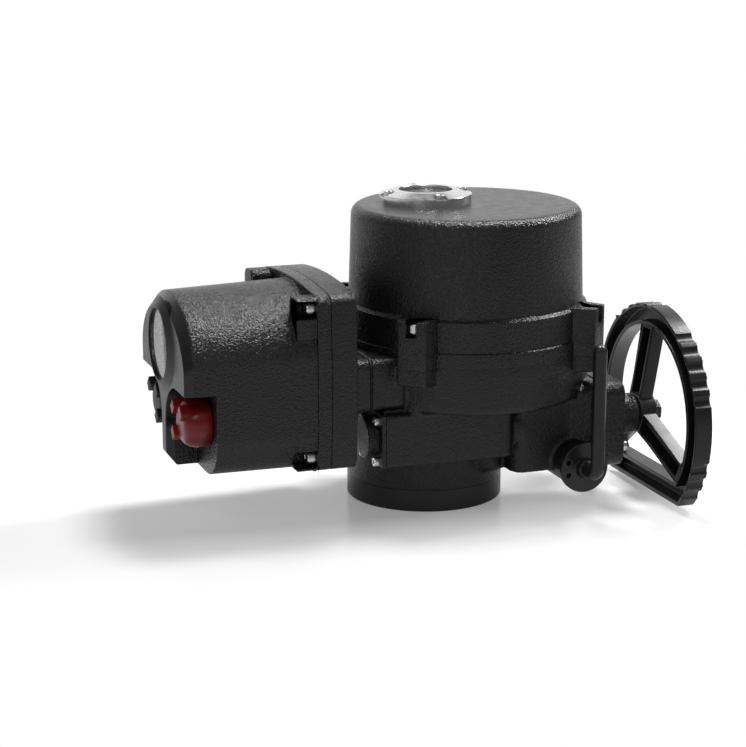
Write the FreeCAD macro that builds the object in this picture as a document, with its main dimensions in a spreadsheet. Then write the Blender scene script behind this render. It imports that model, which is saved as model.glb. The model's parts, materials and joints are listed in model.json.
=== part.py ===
import FreeCAD, Part
import math
import os
import Sketcher

# Quarter-turn electric actuator: a cast housing with a worm drive, a motor under a round cover,
# a control head with a window and two knobs, a clutch lever and a handwheel.
# The origin is the centre of the base on the output axis. +Z is up, the control head is at -X,
# the handwheel at +X, and the front with the clutch lever is at -Y. Millimetres and degrees.

DOC = FreeCAD.newDocument("QuarterTurnActuator")
SHEET = DOC.addObject("Spreadsheet::Sheet", "Sizes")
NODES = {}


# Numbers that remember their formula

class Measure:
    """A number with the sheet formula that it comes from."""

    def __init__(self, value, formula):
        self.value = float(value)
        self.formula = formula

    def join(self, other, sign, value):
        return Measure(value, "(%s %s %s)" % (self.formula, sign, other.formula))

    def __add__(self, other):
        other = measure(other)
        return self.join(other, "+", self.value + other.value)

    def __sub__(self, other):
        other = measure(other)
        return self.join(other, "-", self.value - other.value)

    def __mul__(self, other):
        other = measure(other)
        return self.join(other, "*", self.value * other.value)

    def __truediv__(self, other):
        other = measure(other)
        return self.join(other, "/", self.value / other.value)

    def __radd__(self, other):
        return measure(other) + self

    def __rsub__(self, other):
        return measure(other) - self

    def __rmul__(self, other):
        return measure(other) * self

    def __neg__(self):
        return Measure(-self.value, "(0 - %s)" % self.formula)


def measure(amount):
    """Return the amount as a Measure."""
    if isinstance(amount, Measure):
        return amount
    return Measure(amount, repr(float(amount)))


def size(name, value):
    """Keep one driving size in the sheet under its name."""
    row = size.row
    size.row += 1
    SHEET.set("A%d" % row, name.replace("_", " "))
    SHEET.set("B%d" % row, str(value))
    SHEET.setAlias("B%d" % row, name)
    return Measure(value, "Sizes." + name)


size.row = 1


def sine(angle):
    angle = measure(angle)
    return Measure(math.sin(math.radians(angle.value)), "sin(%s)" % angle.formula)


def cosine(angle):
    angle = measure(angle)
    return Measure(math.cos(math.radians(angle.value)), "cos(%s)" % angle.formula)


def root(amount):
    return Measure(math.sqrt(amount.value), "sqrt(%s)" % amount.formula)


# Base and output drive
base_radius = size("base_radius", 75)
base_height = size("base_height", 21.3)
flange_pitch_radius = size("flange_pitch_radius", 62.5)
flange_thread_radius = size("flange_thread_radius", 5.1)
flange_thread_depth = size("flange_thread_depth", 16)
spigot_radius = size("spigot_radius", 42.5)
spigot_depth = size("spigot_depth", 3)
base_screw_radius = size("base_screw_radius", 3)
base_screw_head_radius = size("base_screw_head_radius", 5)
base_screw_head_height = size("base_screw_head_height", 6)
base_screw_grip = size("base_screw_grip", 26)
output_bore_radius = size("output_bore_radius", 18)
output_bore_depth = size("output_bore_depth", 60)
keyway_width = size("keyway_width", 10)
keyway_depth = size("keyway_depth", 3.3)
keyway_length = size("keyway_length", 50)
sleeve_radius = size("sleeve_radius", 30)
sleeve_seat_radius = size("sleeve_seat_radius", 34)
sleeve_collar_radius = size("sleeve_collar_radius", 42)
sleeve_top_radius = size("sleeve_top_radius", 25)
sleeve_top = size("sleeve_top", 120)
bush_wall = size("bush_wall", 3.5)
running_clearance = size("running_clearance", 0.05)
screw_clearance = size("screw_clearance", 0.5)
stop_cavity_floor = size("stop_cavity_floor", 42)
stop_cavity_radius = size("stop_cavity_radius", 50)
stop_sector_radius = size("stop_sector_radius", 47)
stop_sector_height = size("stop_sector_height", 14)
stop_screw_offset = size("stop_screw_offset", 38)
stop_screw_radius = size("stop_screw_radius", 5)
stop_screw_adjustment = size("stop_screw_adjustment", 6.4)
stop_screw_head_radius = size("stop_screw_head_radius", 9)
stop_screw_head_height = size("stop_screw_head_height", 7)
stop_boss_radius = size("stop_boss_radius", 11.5)
stop_boss_inset = size("stop_boss_inset", 1)
stop_gap = size("stop_gap", 0.4)
lock_nut_height = size("lock_nut_height", 6)

# Worm gearing
worm_axis_y = size("worm_axis_y", -80)
worm_axis_z = size("worm_axis_z", 82)
worm_pitch_radius = size("worm_pitch_radius", 15)
wheel_teeth = size("wheel_teeth", 32)
wheel_width = size("wheel_width", 20)
tooth_height = size("tooth_height", 3.4)
tooth_root_clearance = size("tooth_root_clearance", 0.6)
tooth_backlash = size("tooth_backlash", 0.55)
worm_half_length = size("worm_half_length", 27)
worm_shaft_radius = size("worm_shaft_radius", 8.5)
wheel_cavity_floor = size("wheel_cavity_floor", 58)
wheel_cavity_top = size("wheel_cavity_top", 106)
wheel_side_gap = size("wheel_side_gap", 1.6)
bearing_outer_radius = size("bearing_outer_radius", 17.5)
bearing_width = size("bearing_width", 10)
bearing_race = size("bearing_race", 2.6)
bearing_boss_wall = size("bearing_boss_wall", 3)

# Worm box and its end cap
box_end_x = size("box_end_x", -78)
box_front_y = size("box_front_y", -109)
box_bottom_z = size("box_bottom_z", 58.5)
box_top_z = size("box_top_z", 107.8)
box_right_x = size("box_right_x", 50)
box_corner = size("box_corner", 10)
worm_tunnel_radius = size("worm_tunnel_radius", 20)
tunnel_wall_x = size("tunnel_wall_x", 46)
right_bearing_x = size("right_bearing_x", 52)
cap_plate = size("cap_plate", 4)
cap_disc_radius = size("cap_disc_radius", 20)
cap_disc_height = size("cap_disc_height", 9.5)
cap_spigot = size("cap_spigot", 4)
cap_screw_offset = size("cap_screw_offset", 19)
cap_screw_radius = size("cap_screw_radius", 2.5)
cap_screw_head_radius = size("cap_screw_head_radius", 4.25)
cap_screw_head_height = size("cap_screw_head_height", 5)
cap_screw_length = size("cap_screw_length", 14)

# Drum and top cover
drum_x = size("drum_x", 30.7)
drum_y = size("drum_y", -27.2)
drum_radius = size("drum_radius", 116.5)
drum_bottom_z = size("drum_bottom_z", 108)
drum_floor = size("drum_floor", 6)
drum_wall = size("drum_wall", 7)
drum_edge = size("drum_edge", 3)
parting_z = size("parting_z", 152.5)
band_bottom_z = size("band_bottom_z", 166.5)
band_radius = size("band_radius", 115)
band_top_z = size("band_top_z", 194.2)
cover_foot_radius = size("cover_foot_radius", 111.3)
cover_foot_z = size("cover_foot_z", 197)
cover_top_radius = size("cover_top_radius", 108.5)
cover_top_z = size("cover_top_z", 285.9)
cover_edge = size("cover_edge", 9.3)
cover_wall = size("cover_wall", 6)
seal_inset = size("seal_inset", 2)
seal_width = size("seal_width", 3)
seal_depth = size("seal_depth", 2.6)
lug_angle = size("lug_angle", 47)
lug_reach = size("lug_reach", 134.5)
lug_half_width = size("lug_half_width", 13.7)
lug_foot_half_width = size("lug_foot_half_width", 20)
lug_foot_radius = size("lug_foot_radius", 105)
lug_bottom_z = size("lug_bottom_z", 137)
lug_top_z = size("lug_top_z", 197.5)
lug_screw_inset = size("lug_screw_inset", 10)
lug_slot_half_width = size("lug_slot_half_width", 5)
lug_slot_depth = size("lug_slot_depth", 15)
head_bore_clearance = size("head_bore_clearance", 0.7)
cover_screw_radius = size("cover_screw_radius", 4)
cover_screw_head_radius = size("cover_screw_head_radius", 6.5)
cover_screw_head_height = size("cover_screw_head_height", 8)
cover_screw_length = size("cover_screw_length", 42)

# Sight ring on the cover
sight_ring_radius = size("sight_ring_radius", 44)
sight_ring_height = size("sight_ring_height", 11.3)
sight_hole_radius = size("sight_hole_radius", 25.5)
sight_chamfer = size("sight_chamfer", 2)
sight_glass_radius = size("sight_glass_radius", 29)
sight_glass_thickness = size("sight_glass_thickness", 4)
sight_gasket_thickness = size("sight_gasket_thickness", 3)
sight_screw_circle = size("sight_screw_circle", 37.5)
sight_screw_radius = size("sight_screw_radius", 2.5)
sight_screw_head_radius = size("sight_screw_head_radius", 4.25)
sight_screw_head_height = size("sight_screw_head_height", 5)
sight_screw_sink = size("sight_screw_sink", 5.6)
sight_screw_length = size("sight_screw_length", 10)

# Indicator, cams and switches
spindle_radius = size("spindle_radius", 6)
spindle_foot_radius = size("spindle_foot_radius", 15)
spindle_foot_height = size("spindle_foot_height", 6)
dial_radius = size("dial_radius", 23)
dial_thickness = size("dial_thickness", 2.5)
dial_drop = size("dial_drop", 0.9)
pointer_height = size("pointer_height", 1.5)
pointer_half_width = size("pointer_half_width", 4)
cam_radius = size("cam_radius", 18)
cam_thickness = size("cam_thickness", 7)
cam_z = size("cam_z", 176)
cam_pitch = size("cam_pitch", 12)
cam_flat = size("cam_flat", 3)
switch_gap = size("switch_gap", 0.4)
switch_length = size("switch_length", 26)
switch_width = size("switch_width", 22)
switch_roller_radius = size("switch_roller_radius", 2.5)
supply_left_x = size("supply_left_x", 0)
supply_length = size("supply_length", 58)
supply_front_y = size("supply_front_y", 34)
supply_width = size("supply_width", 36)
supply_height = size("supply_height", 44)

# Motor and gear train
gear_module = size("gear_module", 1.5)
pinion_teeth = size("pinion_teeth", 16)
idler_teeth = size("idler_teeth", 28)
motor_gear_teeth = size("motor_gear_teeth", 18)
gear_backlash = size("gear_backlash", 0.5)
gear_face_gap = size("gear_face_gap", 0.5)
gear_x = size("gear_x", 80)
gear_width = size("gear_width", 12)
idler_y = size("idler_y", -66)
motor_y = size("motor_y", -70)
motor_radius = size("motor_radius", 27)
motor_left_x = size("motor_left_x", -22)
motor_shaft_radius = size("motor_shaft_radius", 5)
gear_plate_thickness = size("gear_plate_thickness", 5)
gear_plate_gap = size("gear_plate_gap", 3)
idler_stud_radius = size("idler_stud_radius", 5)
gear_opening_front_y = size("gear_opening_front_y", -92)
gear_opening_back_y = size("gear_opening_back_y", -41)

# Clutch housing, lever and shifting sleeve
clutch_left_x = size("clutch_left_x", 53)
clutch_front_y = size("clutch_front_y", -100)
clutch_back_y = size("clutch_back_y", -36)
clutch_bottom_z = size("clutch_bottom_z", 38)
clutch_wall = size("clutch_wall", 4)
clutch_floor = size("clutch_floor", 6)
clutch_cavity_left_x = size("clutch_cavity_left_x", 66)
clutch_corner = size("clutch_corner", 12)
pod_x = size("pod_x", 42)
pod_y = size("pod_y", -58)
pod_radius = size("pod_radius", 19)
pod_bottom_z = size("pod_bottom_z", 33)
flange_left_x = size("flange_left_x", 124)
flange_right_x = size("flange_right_x", 136)
end_plate_right_x = size("end_plate_right_x", 156.5)
end_plate_half = size("end_plate_half", 41)
end_plate_corner = size("end_plate_corner", 13)
end_screw_offset_y = size("end_screw_offset_y", 31)
end_screw_offset_z = size("end_screw_offset_z", 23)
end_screw_radius = size("end_screw_radius", 3)
end_screw_head_radius = size("end_screw_head_radius", 5)
end_screw_head_height = size("end_screw_head_height", 6)
end_screw_length = size("end_screw_length", 30)
neck_radius = size("neck_radius", 19)
neck_right_x = size("neck_right_x", 183)
lever_x = size("lever_x", 112.8)
lever_z = size("lever_z", 46.1)
lever_boss_radius = size("lever_boss_radius", 21)
lever_boss_front_y = size("lever_boss_front_y", -121.6)
lever_boss_back_y = size("lever_boss_back_y", -62)
lever_disc_radius = size("lever_disc_radius", 23.8)
lever_disc_thickness = size("lever_disc_thickness", 6)
lever_disc_gap = size("lever_disc_gap", 0.4)
lever_hub_radius = size("lever_hub_radius", 10)
lever_hub_length = size("lever_hub_length", 6)
lever_rod_radius = size("lever_rod_radius", 6.5)
lever_rod_y = size("lever_rod_y", -155)
lever_top_z = size("lever_top_z", 170.5)
lever_bend = size("lever_bend", 9)
lever_shaft_radius = size("lever_shaft_radius", 8)
lever_shaft_end_y = size("lever_shaft_end_y", -89)
lever_hole_radius = size("lever_hole_radius", 2.2)
lever_bush_wall = size("lever_bush_wall", 3)
crank_radius = size("crank_radius", 7.64)
crank_pin_radius = size("crank_pin_radius", 3.3)
crank_pin_end_y = size("crank_pin_end_y", -73)
crank_room = size("crank_room", 12)
dog_height = size("dog_height", 4)
dog_gap = size("dog_gap", 0.4)
dog_inner_radius = size("dog_inner_radius", 9.4)
dog_outer_radius = size("dog_outer_radius", 15.5)
dog_half_angle = size("dog_half_angle", 18)
dog_count = size("dog_count", 4)
sleeve_length = size("sleeve_length", 14)
sleeve_groove_radius = size("sleeve_groove_radius", 12.4)
sleeve_groove_width = size("sleeve_groove_width", 5)
sleeve_groove_inset = size("sleeve_groove_inset", 4.5)
fork_side_gap = size("fork_side_gap", 0.4)
fork_half_width = size("fork_half_width", 15.2)
fork_bottom_z = size("fork_bottom_z", 45)
fork_block_top_z = size("fork_block_top_z", 65.5)
fork_block_half_width = size("fork_block_half_width", 8)
fork_block_right_x = size("fork_block_right_x", 126)
fork_rail_radius = size("fork_rail_radius", 2.8)
fork_rail_z = size("fork_rail_z", 61.5)
feather_width = size("feather_width", 5)
feather_height = size("feather_height", 2.2)

# Handwheel
wheel_axis_gap = size("wheel_axis_gap", 2)
hand_shaft_radius = size("hand_shaft_radius", 9)
hand_bush_wall = size("hand_bush_wall", 3)
hand_hub_radius = size("hand_hub_radius", 19)
hand_hub_length = size("hand_hub_length", 17)
hand_rim_radius = size("hand_rim_radius", 105)
hand_rim_depth = size("hand_rim_depth", 21)
hand_rim_left_x = size("hand_rim_left_x", 198)
hand_rim_width = size("hand_rim_width", 17)
hand_wall = size("hand_wall", 4)
hand_chord = size("hand_chord", 75)
hand_spoke_half_width = size("hand_spoke_half_width", 11.5)
hand_spoke_depth = size("hand_spoke_depth", 13.5)
grip_radius = size("grip_radius", 8)
grip_depth = size("grip_depth", 2.4)
grip_pitch_angle = size("grip_pitch_angle", 9)
grip_waves = size("grip_waves", 5)
grip_groups = size("grip_groups", 5)
hand_nut_radius = size("hand_nut_radius", 10.5)
hand_nut_height = size("hand_nut_height", 7)
hand_thread_radius = size("hand_thread_radius", 6)
hand_washer_radius = size("hand_washer_radius", 13)
hand_washer_height = size("hand_washer_height", 2)

# Control head
head_seat_x = size("head_seat_x", -143.9)
head_seam_x = size("head_seam_x", -130.7)
head_base_back_x = size("head_base_back_x", -106.5)
neck_seam_x = size("neck_seam_x", -91.8)
neck_gasket_thickness = size("neck_gasket_thickness", 1.5)
port_inner_x = size("port_inner_x", -60)
port_half_width = size("port_half_width", 78)
port_bottom_z = size("port_bottom_z", 110.5)
port_top_z = size("port_top_z", 160)
port_corner = size("port_corner", 9)
port_wall = size("port_wall", 8)
port_gap = size("port_gap", 0.3)
head_flange_half_width = size("head_flange_half_width", 82)
head_flange_bulge = size("head_flange_bulge", 3.3)
head_flange_bottom_z = size("head_flange_bottom_z", 62)
head_flange_top_z = size("head_flange_top_z", 222)
head_flange_rise = size("head_flange_rise", 5.6)
head_flange_corner = size("head_flange_corner", 10)
head_screw_half_pitch_y = size("head_screw_half_pitch_y", 71)
head_screw_half_pitch_z = size("head_screw_half_pitch_z", 69)
head_screw_radius = size("head_screw_radius", 4)
head_screw_head_radius = size("head_screw_head_radius", 6.5)
head_screw_head_height = size("head_screw_head_height", 8)
head_screw_length = size("head_screw_length", 26)
head_boss_depth = size("head_boss_depth", 18.5)
head_boss_height = size("head_boss_height", 40)
head_boss_width = size("head_boss_width", 24)
head_pocket_radius = size("head_pocket_radius", 8)
head_rear_half_width = size("head_rear_half_width", 84)
head_rear_rise = size("head_rear_rise", 61)
head_front_x = size("head_front_x", -257)
head_front_half_width = size("head_front_half_width", 81.5)
head_front_rise = size("head_front_rise", 57)
head_spring_z = size("head_spring_z", 163)
head_bottom_z = size("head_bottom_z", 58.5)
head_corner = size("head_corner", 42)
face_x = size("face_x", -265.8)
face_half_width = size("face_half_width", 78.3)
face_spring_z = size("face_spring_z", 157)
face_rise = size("face_rise", 50.7)
head_wall = size("head_wall", 8)
head_bevel = size("head_bevel", 3)
head_seal_inset = size("head_seal_inset", 3.5)
base_wall_step = size("base_wall_step", 3)
recess_back_x = size("recess_back_x", -237)
recess_wall = size("recess_wall", 5)
recess_radius = size("recess_radius", 38)
recess_centre_z = size("recess_centre_z", 102)
knob_pitch = size("knob_pitch", 45)
knob_z = size("knob_z", 109)
fin_chamfer_x = size("fin_chamfer_x", 10)
fin_chamfer_z = size("fin_chamfer_z", 13)
window_z = size("window_z", 172.5)
window_radius = size("window_radius", 33)
window_view_radius = size("window_view_radius", 30)
bezel_outer_radius = size("bezel_outer_radius", 44)
bezel_rim_radius = size("bezel_rim_radius", 34.6)
bezel_height = size("bezel_height", 4.5)
window_sink = size("window_sink", 2)
window_thickness = size("window_thickness", 4)
display_thickness = size("display_thickness", 14)
display_half = size("display_half", 36)
board_thickness = size("board_thickness", 1.6)
board_half_width = size("board_half_width", 52)
board_bottom_z = size("board_bottom_z", 96)
board_top_z = size("board_top_z", 190)
standoff_radius = size("standoff_radius", 4)
standoff_length = size("standoff_length", 30)
terminal_depth = size("terminal_depth", 14)
terminal_half_width = size("terminal_half_width", 40)
base_pocket_depth = size("base_pocket_depth", 17)
plug_radius = size("plug_radius", 8)
plug_head_radius = size("plug_head_radius", 10.5)
plug_head_height = size("plug_head_height", 4)
plug_pitch = size("plug_pitch", 44)

# Knobs
knob_radius = size("knob_radius", 23.5)
knob_skirt = size("knob_skirt", 9.6)
knob_gap = size("knob_gap", 0.4)
knob_nose_radius = size("knob_nose_radius", 12)
knob_nose_x = size("knob_nose_x", -262)
knob_lobe_x = size("knob_lobe_x", -265.5)
knob_lobe_half = size("knob_lobe_half", 8.2)
knob_lobe_offset_y = size("knob_lobe_offset_y", 14.5)
knob_lobe_offset_z = size("knob_lobe_offset_z", 13)
knob_shaft_radius = size("knob_shaft_radius", 4)
switch_body_length = size("switch_body_length", 18)
switch_body_half = size("switch_body_half", 13)

# Positions worked out from the sizes
pitch_circle = worm_axis_y * -1 - worm_pitch_radius
lead = 2 * math.pi * pitch_circle / wheel_teeth
wheel_tip_radius = pitch_circle + tooth_height
worm_tip_radius = worm_pitch_radius + tooth_height
worm_root_radius = worm_pitch_radius - tooth_height - tooth_root_clearance
wheel_bottom_z = worm_axis_z - wheel_width / 2
wheel_top_z = worm_axis_z + wheel_width / 2
drum_floor_z = drum_bottom_z + drum_floor
drum_inner_radius = drum_radius - drum_wall
sleeve_bottom_z = spigot_depth
stop_boss_y = base_radius - stop_boss_inset
stop_level_z = stop_cavity_floor + stop_sector_height / 2
lug_screw_radius = lug_reach - lug_screw_inset
dial_top_z = cover_top_z - dial_drop
gear_radius = gear_module * motor_gear_teeth / 2
idler_radius = gear_module * idler_teeth / 2
pinion_radius = gear_module * pinion_teeth / 2
idler_reach = gear_radius + idler_radius
motor_reach = idler_radius + pinion_radius
idler_z = worm_axis_z + root(idler_reach * idler_reach - (idler_y - worm_axis_y) * (idler_y - worm_axis_y))
motor_z = idler_z + root(motor_reach * motor_reach - (motor_y - idler_y) * (motor_y - idler_y))
gear_plate_right_x = gear_x - gear_plate_gap
gear_plate_left_x = gear_plate_right_x - gear_plate_thickness
gear_right_x = gear_x + gear_width
gear_dog_end_x = gear_right_x + dog_height
shift_left_x = gear_dog_end_x + dog_gap
shift_right_x = shift_left_x + sleeve_length
hub_dog_left_x = shift_right_x + dog_height + dog_gap
hub_left_x = hub_dog_left_x + dog_height
groove_left_x = shift_left_x + sleeve_groove_inset
groove_right_x = groove_left_x + sleeve_groove_width
worm_shaft_end_x = hub_dog_left_x - 1
hub_start_x = neck_right_x + wheel_axis_gap
hub_end_x = hub_start_x + hand_hub_length
flange_centre_z = (head_flange_bottom_z + head_flange_top_z) / 2
glass_front_x = face_x - bezel_height + window_sink
glass_back_x = glass_front_x + window_thickness
sight_glass_bottom_z = cover_top_z + sight_gasket_thickness
sight_glass_top_z = sight_glass_bottom_z + sight_glass_thickness
sight_ring_top_z = cover_top_z + sight_ring_height
lever_disc_back_y = lever_boss_front_y - lever_disc_gap
lever_disc_front_y = lever_disc_back_y - lever_disc_thickness


# Ways to make pieces

def bind(item, key, amount):
    item.setExpression(key, measure(amount).formula)


def locate(item, x, y, z):
    for axis, amount in (("x", x), ("y", y), ("z", z)):
        bind(item, "Placement.Base." + axis, amount)


TURN = {
    "X": FreeCAD.Rotation(FreeCAD.Vector(0, 1, 0), 90),
    "Y": FreeCAD.Rotation(FreeCAD.Vector(1, 0, 0), -90),
    "Z": FreeCAD.Rotation(),
}


def block(x0, x1, y0, y1, z0, z1):
    """Make a box from its three pairs of limits."""
    item = DOC.addObject("Part::Box", "Block")
    for key, low, high in (("Length", x0, x1), ("Width", y0, y1), ("Height", z0, z1)):
        bind(item, key, measure(high) - low)
    locate(item, x0, y0, z0)
    return item


def along(axis, start, first, second):
    """Return x, y, z of a point on an axis that runs along X, Y or Z."""
    if axis == "X":
        return start, first, second
    if axis == "Y":
        return first, start, second
    return first, second, start


def cylinder(axis, radius, start, end, first=0, second=0):
    """Make a cylinder along X, Y or Z through the point given by the other two coordinates."""
    item = DOC.addObject("Part::Cylinder", "Cylinder")
    bind(item, "Radius", radius)
    bind(item, "Height", measure(end) - start)
    item.Placement.Rotation = TURN[axis]
    locate(item, *along(axis, start, first, second))
    return item


def cone(axis, radius, end_radius, start, end, first=0, second=0):
    item = DOC.addObject("Part::Cone", "Cone")
    bind(item, "Radius1", radius)
    bind(item, "Radius2", end_radius)
    bind(item, "Height", measure(end) - start)
    item.Placement.Rotation = TURN[axis]
    locate(item, *along(axis, start, first, second))
    return item


def hexagon(axis, radius, start, end, first=0, second=0):
    item = DOC.addObject("Part::Prism", "Hexagon")
    item.Polygon = 6
    bind(item, "Circumradius", radius)
    bind(item, "Height", measure(end) - start)
    item.Placement.Rotation = TURN[axis]
    locate(item, *along(axis, start, first, second))
    return item


def fuse(*items):
    if len(items) == 1:
        return items[0]
    item = DOC.addObject("Part::MultiFuse", "Fuse")
    item.Shapes = list(items)
    item.Refine = True
    return item


def cut(base, *tools):
    item = DOC.addObject("Part::Cut", "Cut")
    item.Base = base
    item.Tool = fuse(*tools)
    item.Refine = True
    return item


def common(first, second):
    item = DOC.addObject("Part::Common", "Common")
    item.Base = first
    item.Tool = second
    return item


def group(*items):
    """Keep separate solids together in one piece."""
    item = DOC.addObject("Part::Compound", "Group")
    item.Links = list(items)
    return item


def tube(axis, outer, inner, start, end, first=0, second=0):
    return cut(
        cylinder(axis, outer, start, end, first, second),
        cylinder(axis, inner, measure(start) - 1, measure(end) + 1, first, second),
    )


def formed(shape, name="Form"):
    """Keep a shape that a formula gives."""
    item = DOC.addObject("Part::Feature", name)
    item.Shape = shape
    return item


def rounded(item, radius, choose):
    """Round the edges that the choice picks."""
    DOC.recompute()
    fillet = DOC.addObject("Part::Fillet", "Rounded")
    fillet.Base = item
    amount = measure(radius).value
    picked = [n + 1 for n, edge in enumerate(item.Shape.Edges) if choose(edge)]
    fillet.Edges = [(n, amount, amount) for n in picked]
    return fillet


def runs(edge, axis):
    """Tell whether an edge is straight and runs along the axis."""
    if edge.Curve.TypeId != "Part::GeomLine":
        return False
    way = edge.Curve.Direction
    return abs(getattr(way, axis)) > 0.999


def origin_plane(body, role):
    return [plane for plane in body.Origin.OriginFeatures if plane.Role == role][0]


def outline(body, role, points):
    """Draw a closed sketch whose every corner is bound to its sizes."""
    sketch = body.newObject("Sketcher::SketchObject", "Outline")
    sketch.AttachmentSupport = (origin_plane(body, role), "")
    sketch.MapMode = "FlatFace"
    corners = [(measure(a), measure(b)) for a, b in points]
    for index, (a, b) in enumerate(corners):
        c, d = corners[(index + 1) % len(corners)]
        start = FreeCAD.Vector(a.value, b.value, 0)
        end = FreeCAD.Vector(c.value, d.value, 0)
        sketch.addGeometry(Part.LineSegment(start, end), False)
    for index in range(len(corners)):
        following = (index + 1) % len(corners)
        sketch.addConstraint(Sketcher.Constraint("Coincident", index, 2, following, 1))
    for index, corner in enumerate(corners):
        for kind, amount in zip(("DistanceX", "DistanceY"), corner):
            place = sketch.addConstraint(Sketcher.Constraint(kind, -1, 1, index, 1, amount.value))
            sketch.setExpression("Constraints[%d]" % place, amount.formula)
    return sketch


def turned(axis, points, first=0, second=0):
    """Revolve a profile of radius and height about an axis along X or Z."""
    body = DOC.addObject("PartDesign::Body", "Turned")
    sketch = outline(body, "XZ_Plane", points)
    turn = body.newObject("PartDesign::Revolution", "Turn")
    turn.Profile = sketch
    turn.ReferenceAxis = (sketch, ["V_Axis"])
    turn.Angle = 360
    body.Tip = turn
    body.Placement.Rotation = TURN[axis]
    locate(body, *along(axis, 0, first, second))
    return body


def prism(role, points, start, end, place=None):
    """Pad a sketch between two heights over its plane."""
    body = DOC.addObject("PartDesign::Body", "Prism")
    sketch = outline(body, role, points)
    offset = "AttachmentOffset.Base.z"
    bind(sketch, offset, -measure(end) if role == "XZ_Plane" else start)
    pad = body.newObject("PartDesign::Pad", "Pad")
    pad.Profile = sketch
    bind(pad, "Length", measure(end) - start)
    body.Tip = pad
    if place is not None:
        turn, x, y, z = place
        body.Placement.Rotation = FreeCAD.Rotation(FreeCAD.Vector(0, 0, 1), measure(turn).value)
        locate(body, x, y, z)
    return body


def socket_screw(axis, way, seat, first, second, radius, head_radius, head_height, length):
    """Make a socket head screw; way is +1 where it points along the axis and -1 where it points back."""
    seat = measure(seat)
    head = sorted((seat, seat - way * head_height), key=lambda limit: limit.value)
    shank = sorted((seat - way * 0.5, seat + way * length), key=lambda limit: limit.value)
    socket = sorted((seat - way * head_height * 0.45, seat - way * (head_height + 1)), key=lambda m: m.value)
    body = fuse(
        cylinder(axis, head_radius, head[0], head[1], first, second),
        cylinder(axis, radius, shank[0], shank[1], first, second),
    )
    return cut(body, hexagon(axis, head_radius * 0.52, socket[0], socket[1], first, second))


def node(name, item):
    """Give the finished piece its name."""
    item.Label = name
    NODES[name] = item


def arc_through(first, middle, last):
    return Part.Arc(FreeCAD.Vector(*first), FreeCAD.Vector(*middle), FreeCAD.Vector(*last)).toShape()


# Gears

def gear_outline(radius, teeth, module, backlash, phase):
    """Return the outline of a spur gear with involute flanks, in its own plane."""
    addendum = 0.9 * module
    tip = radius + addendum
    base = radius * math.cos(math.radians(20))
    bottom = radius - 1.25 * module
    half = math.pi * module / 4 - backlash / 2

    def half_angle(at):
        """Half of a tooth's angle at a radius, from the involute of the base circle."""
        at = max(at, base)
        pressure = math.acos(base / at)
        involute = math.tan(pressure) - pressure
        start = math.tan(math.radians(20)) - math.radians(20)
        return half / radius + start - involute

    levels = [bottom, max(base, bottom), (base + tip) / 2, tip]
    points = []
    for tooth in range(teeth):
        centre = phase + tooth * 2 * math.pi / teeth
        for level in levels:
            angle = centre - half_angle(level)
            points.append((level * math.cos(angle), level * math.sin(angle)))
        for level in reversed(levels):
            angle = centre + half_angle(level)
            points.append((level * math.cos(angle), level * math.sin(angle)))
    return points


def spur_gear(teeth, bore, phase, y, z, inset=0):
    """Make a spur gear across X at the gear train's place, narrower by an inset at both faces."""
    count = int(round(teeth.value))
    module = gear_module.value
    points = gear_outline(module * count / 2, count, module, gear_backlash.value, phase)
    corners = [FreeCAD.Vector(gear_x.value + inset, y.value + a, z.value + b) for a, b in points]
    face = Part.Face(Part.makePolygon(corners + corners[:1]))
    blank = formed(face.extrude(FreeCAD.Vector(gear_width.value - 2 * inset, 0, 0)), "Gear")
    return cut(blank, cylinder("X", bore, gear_x - 1, gear_right_x + 1, y, z))


def meshing_phase(driver_phase, driver_teeth, teeth, start, end):
    """Return the phase of a gear whose gap takes the driver's tooth."""
    line = math.atan2(end[1] - start[1], end[0] - start[0])
    step = 2 * math.pi / driver_teeth
    offset = (driver_phase - line + step / 2) % step - step / 2
    return line + math.pi - offset * driver_teeth / teeth + math.pi / teeth


def worm_wheel_solid():
    """Cut slanted tooth gaps round a blank, so that one gap faces the worm."""
    count = int(round(wheel_teeth.value))
    pitch = pitch_circle.value
    slant = math.degrees(math.atan(lead.value / (2 * math.pi * worm_pitch_radius.value)))
    gap = math.pi * pitch / count / 2 + tooth_backlash.value / 2
    rise = tooth_height.value
    widening = math.tan(math.radians(20))
    low = pitch - rise - tooth_root_clearance.value
    high = pitch + rise + 2
    reach = wheel_width.value
    gaps = []
    section = [
        (-(gap - (pitch - low) * widening), -low),
        (gap - (pitch - low) * widening, -low),
        (gap + (high - pitch) * widening, -high),
        (-(gap + (high - pitch) * widening), -high),
    ]
    corners = [FreeCAD.Vector(x, y, -reach) for x, y in section]
    tool = Part.Face(Part.makePolygon(corners + corners[:1])).extrude(FreeCAD.Vector(0, 0, 2 * reach))
    tool.rotate(FreeCAD.Vector(0, 0, 0), FreeCAD.Vector(0, 1, 0), slant)
    tool.translate(FreeCAD.Vector(0, 0, worm_axis_z.value))
    for index in range(count):
        one = tool.copy()
        one.rotate(FreeCAD.Vector(0, 0, 0), FreeCAD.Vector(0, 0, 1), index * 360 / count)
        gaps.append(one)
    return formed(Part.makeCompound(gaps), "ToothGaps")


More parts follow.
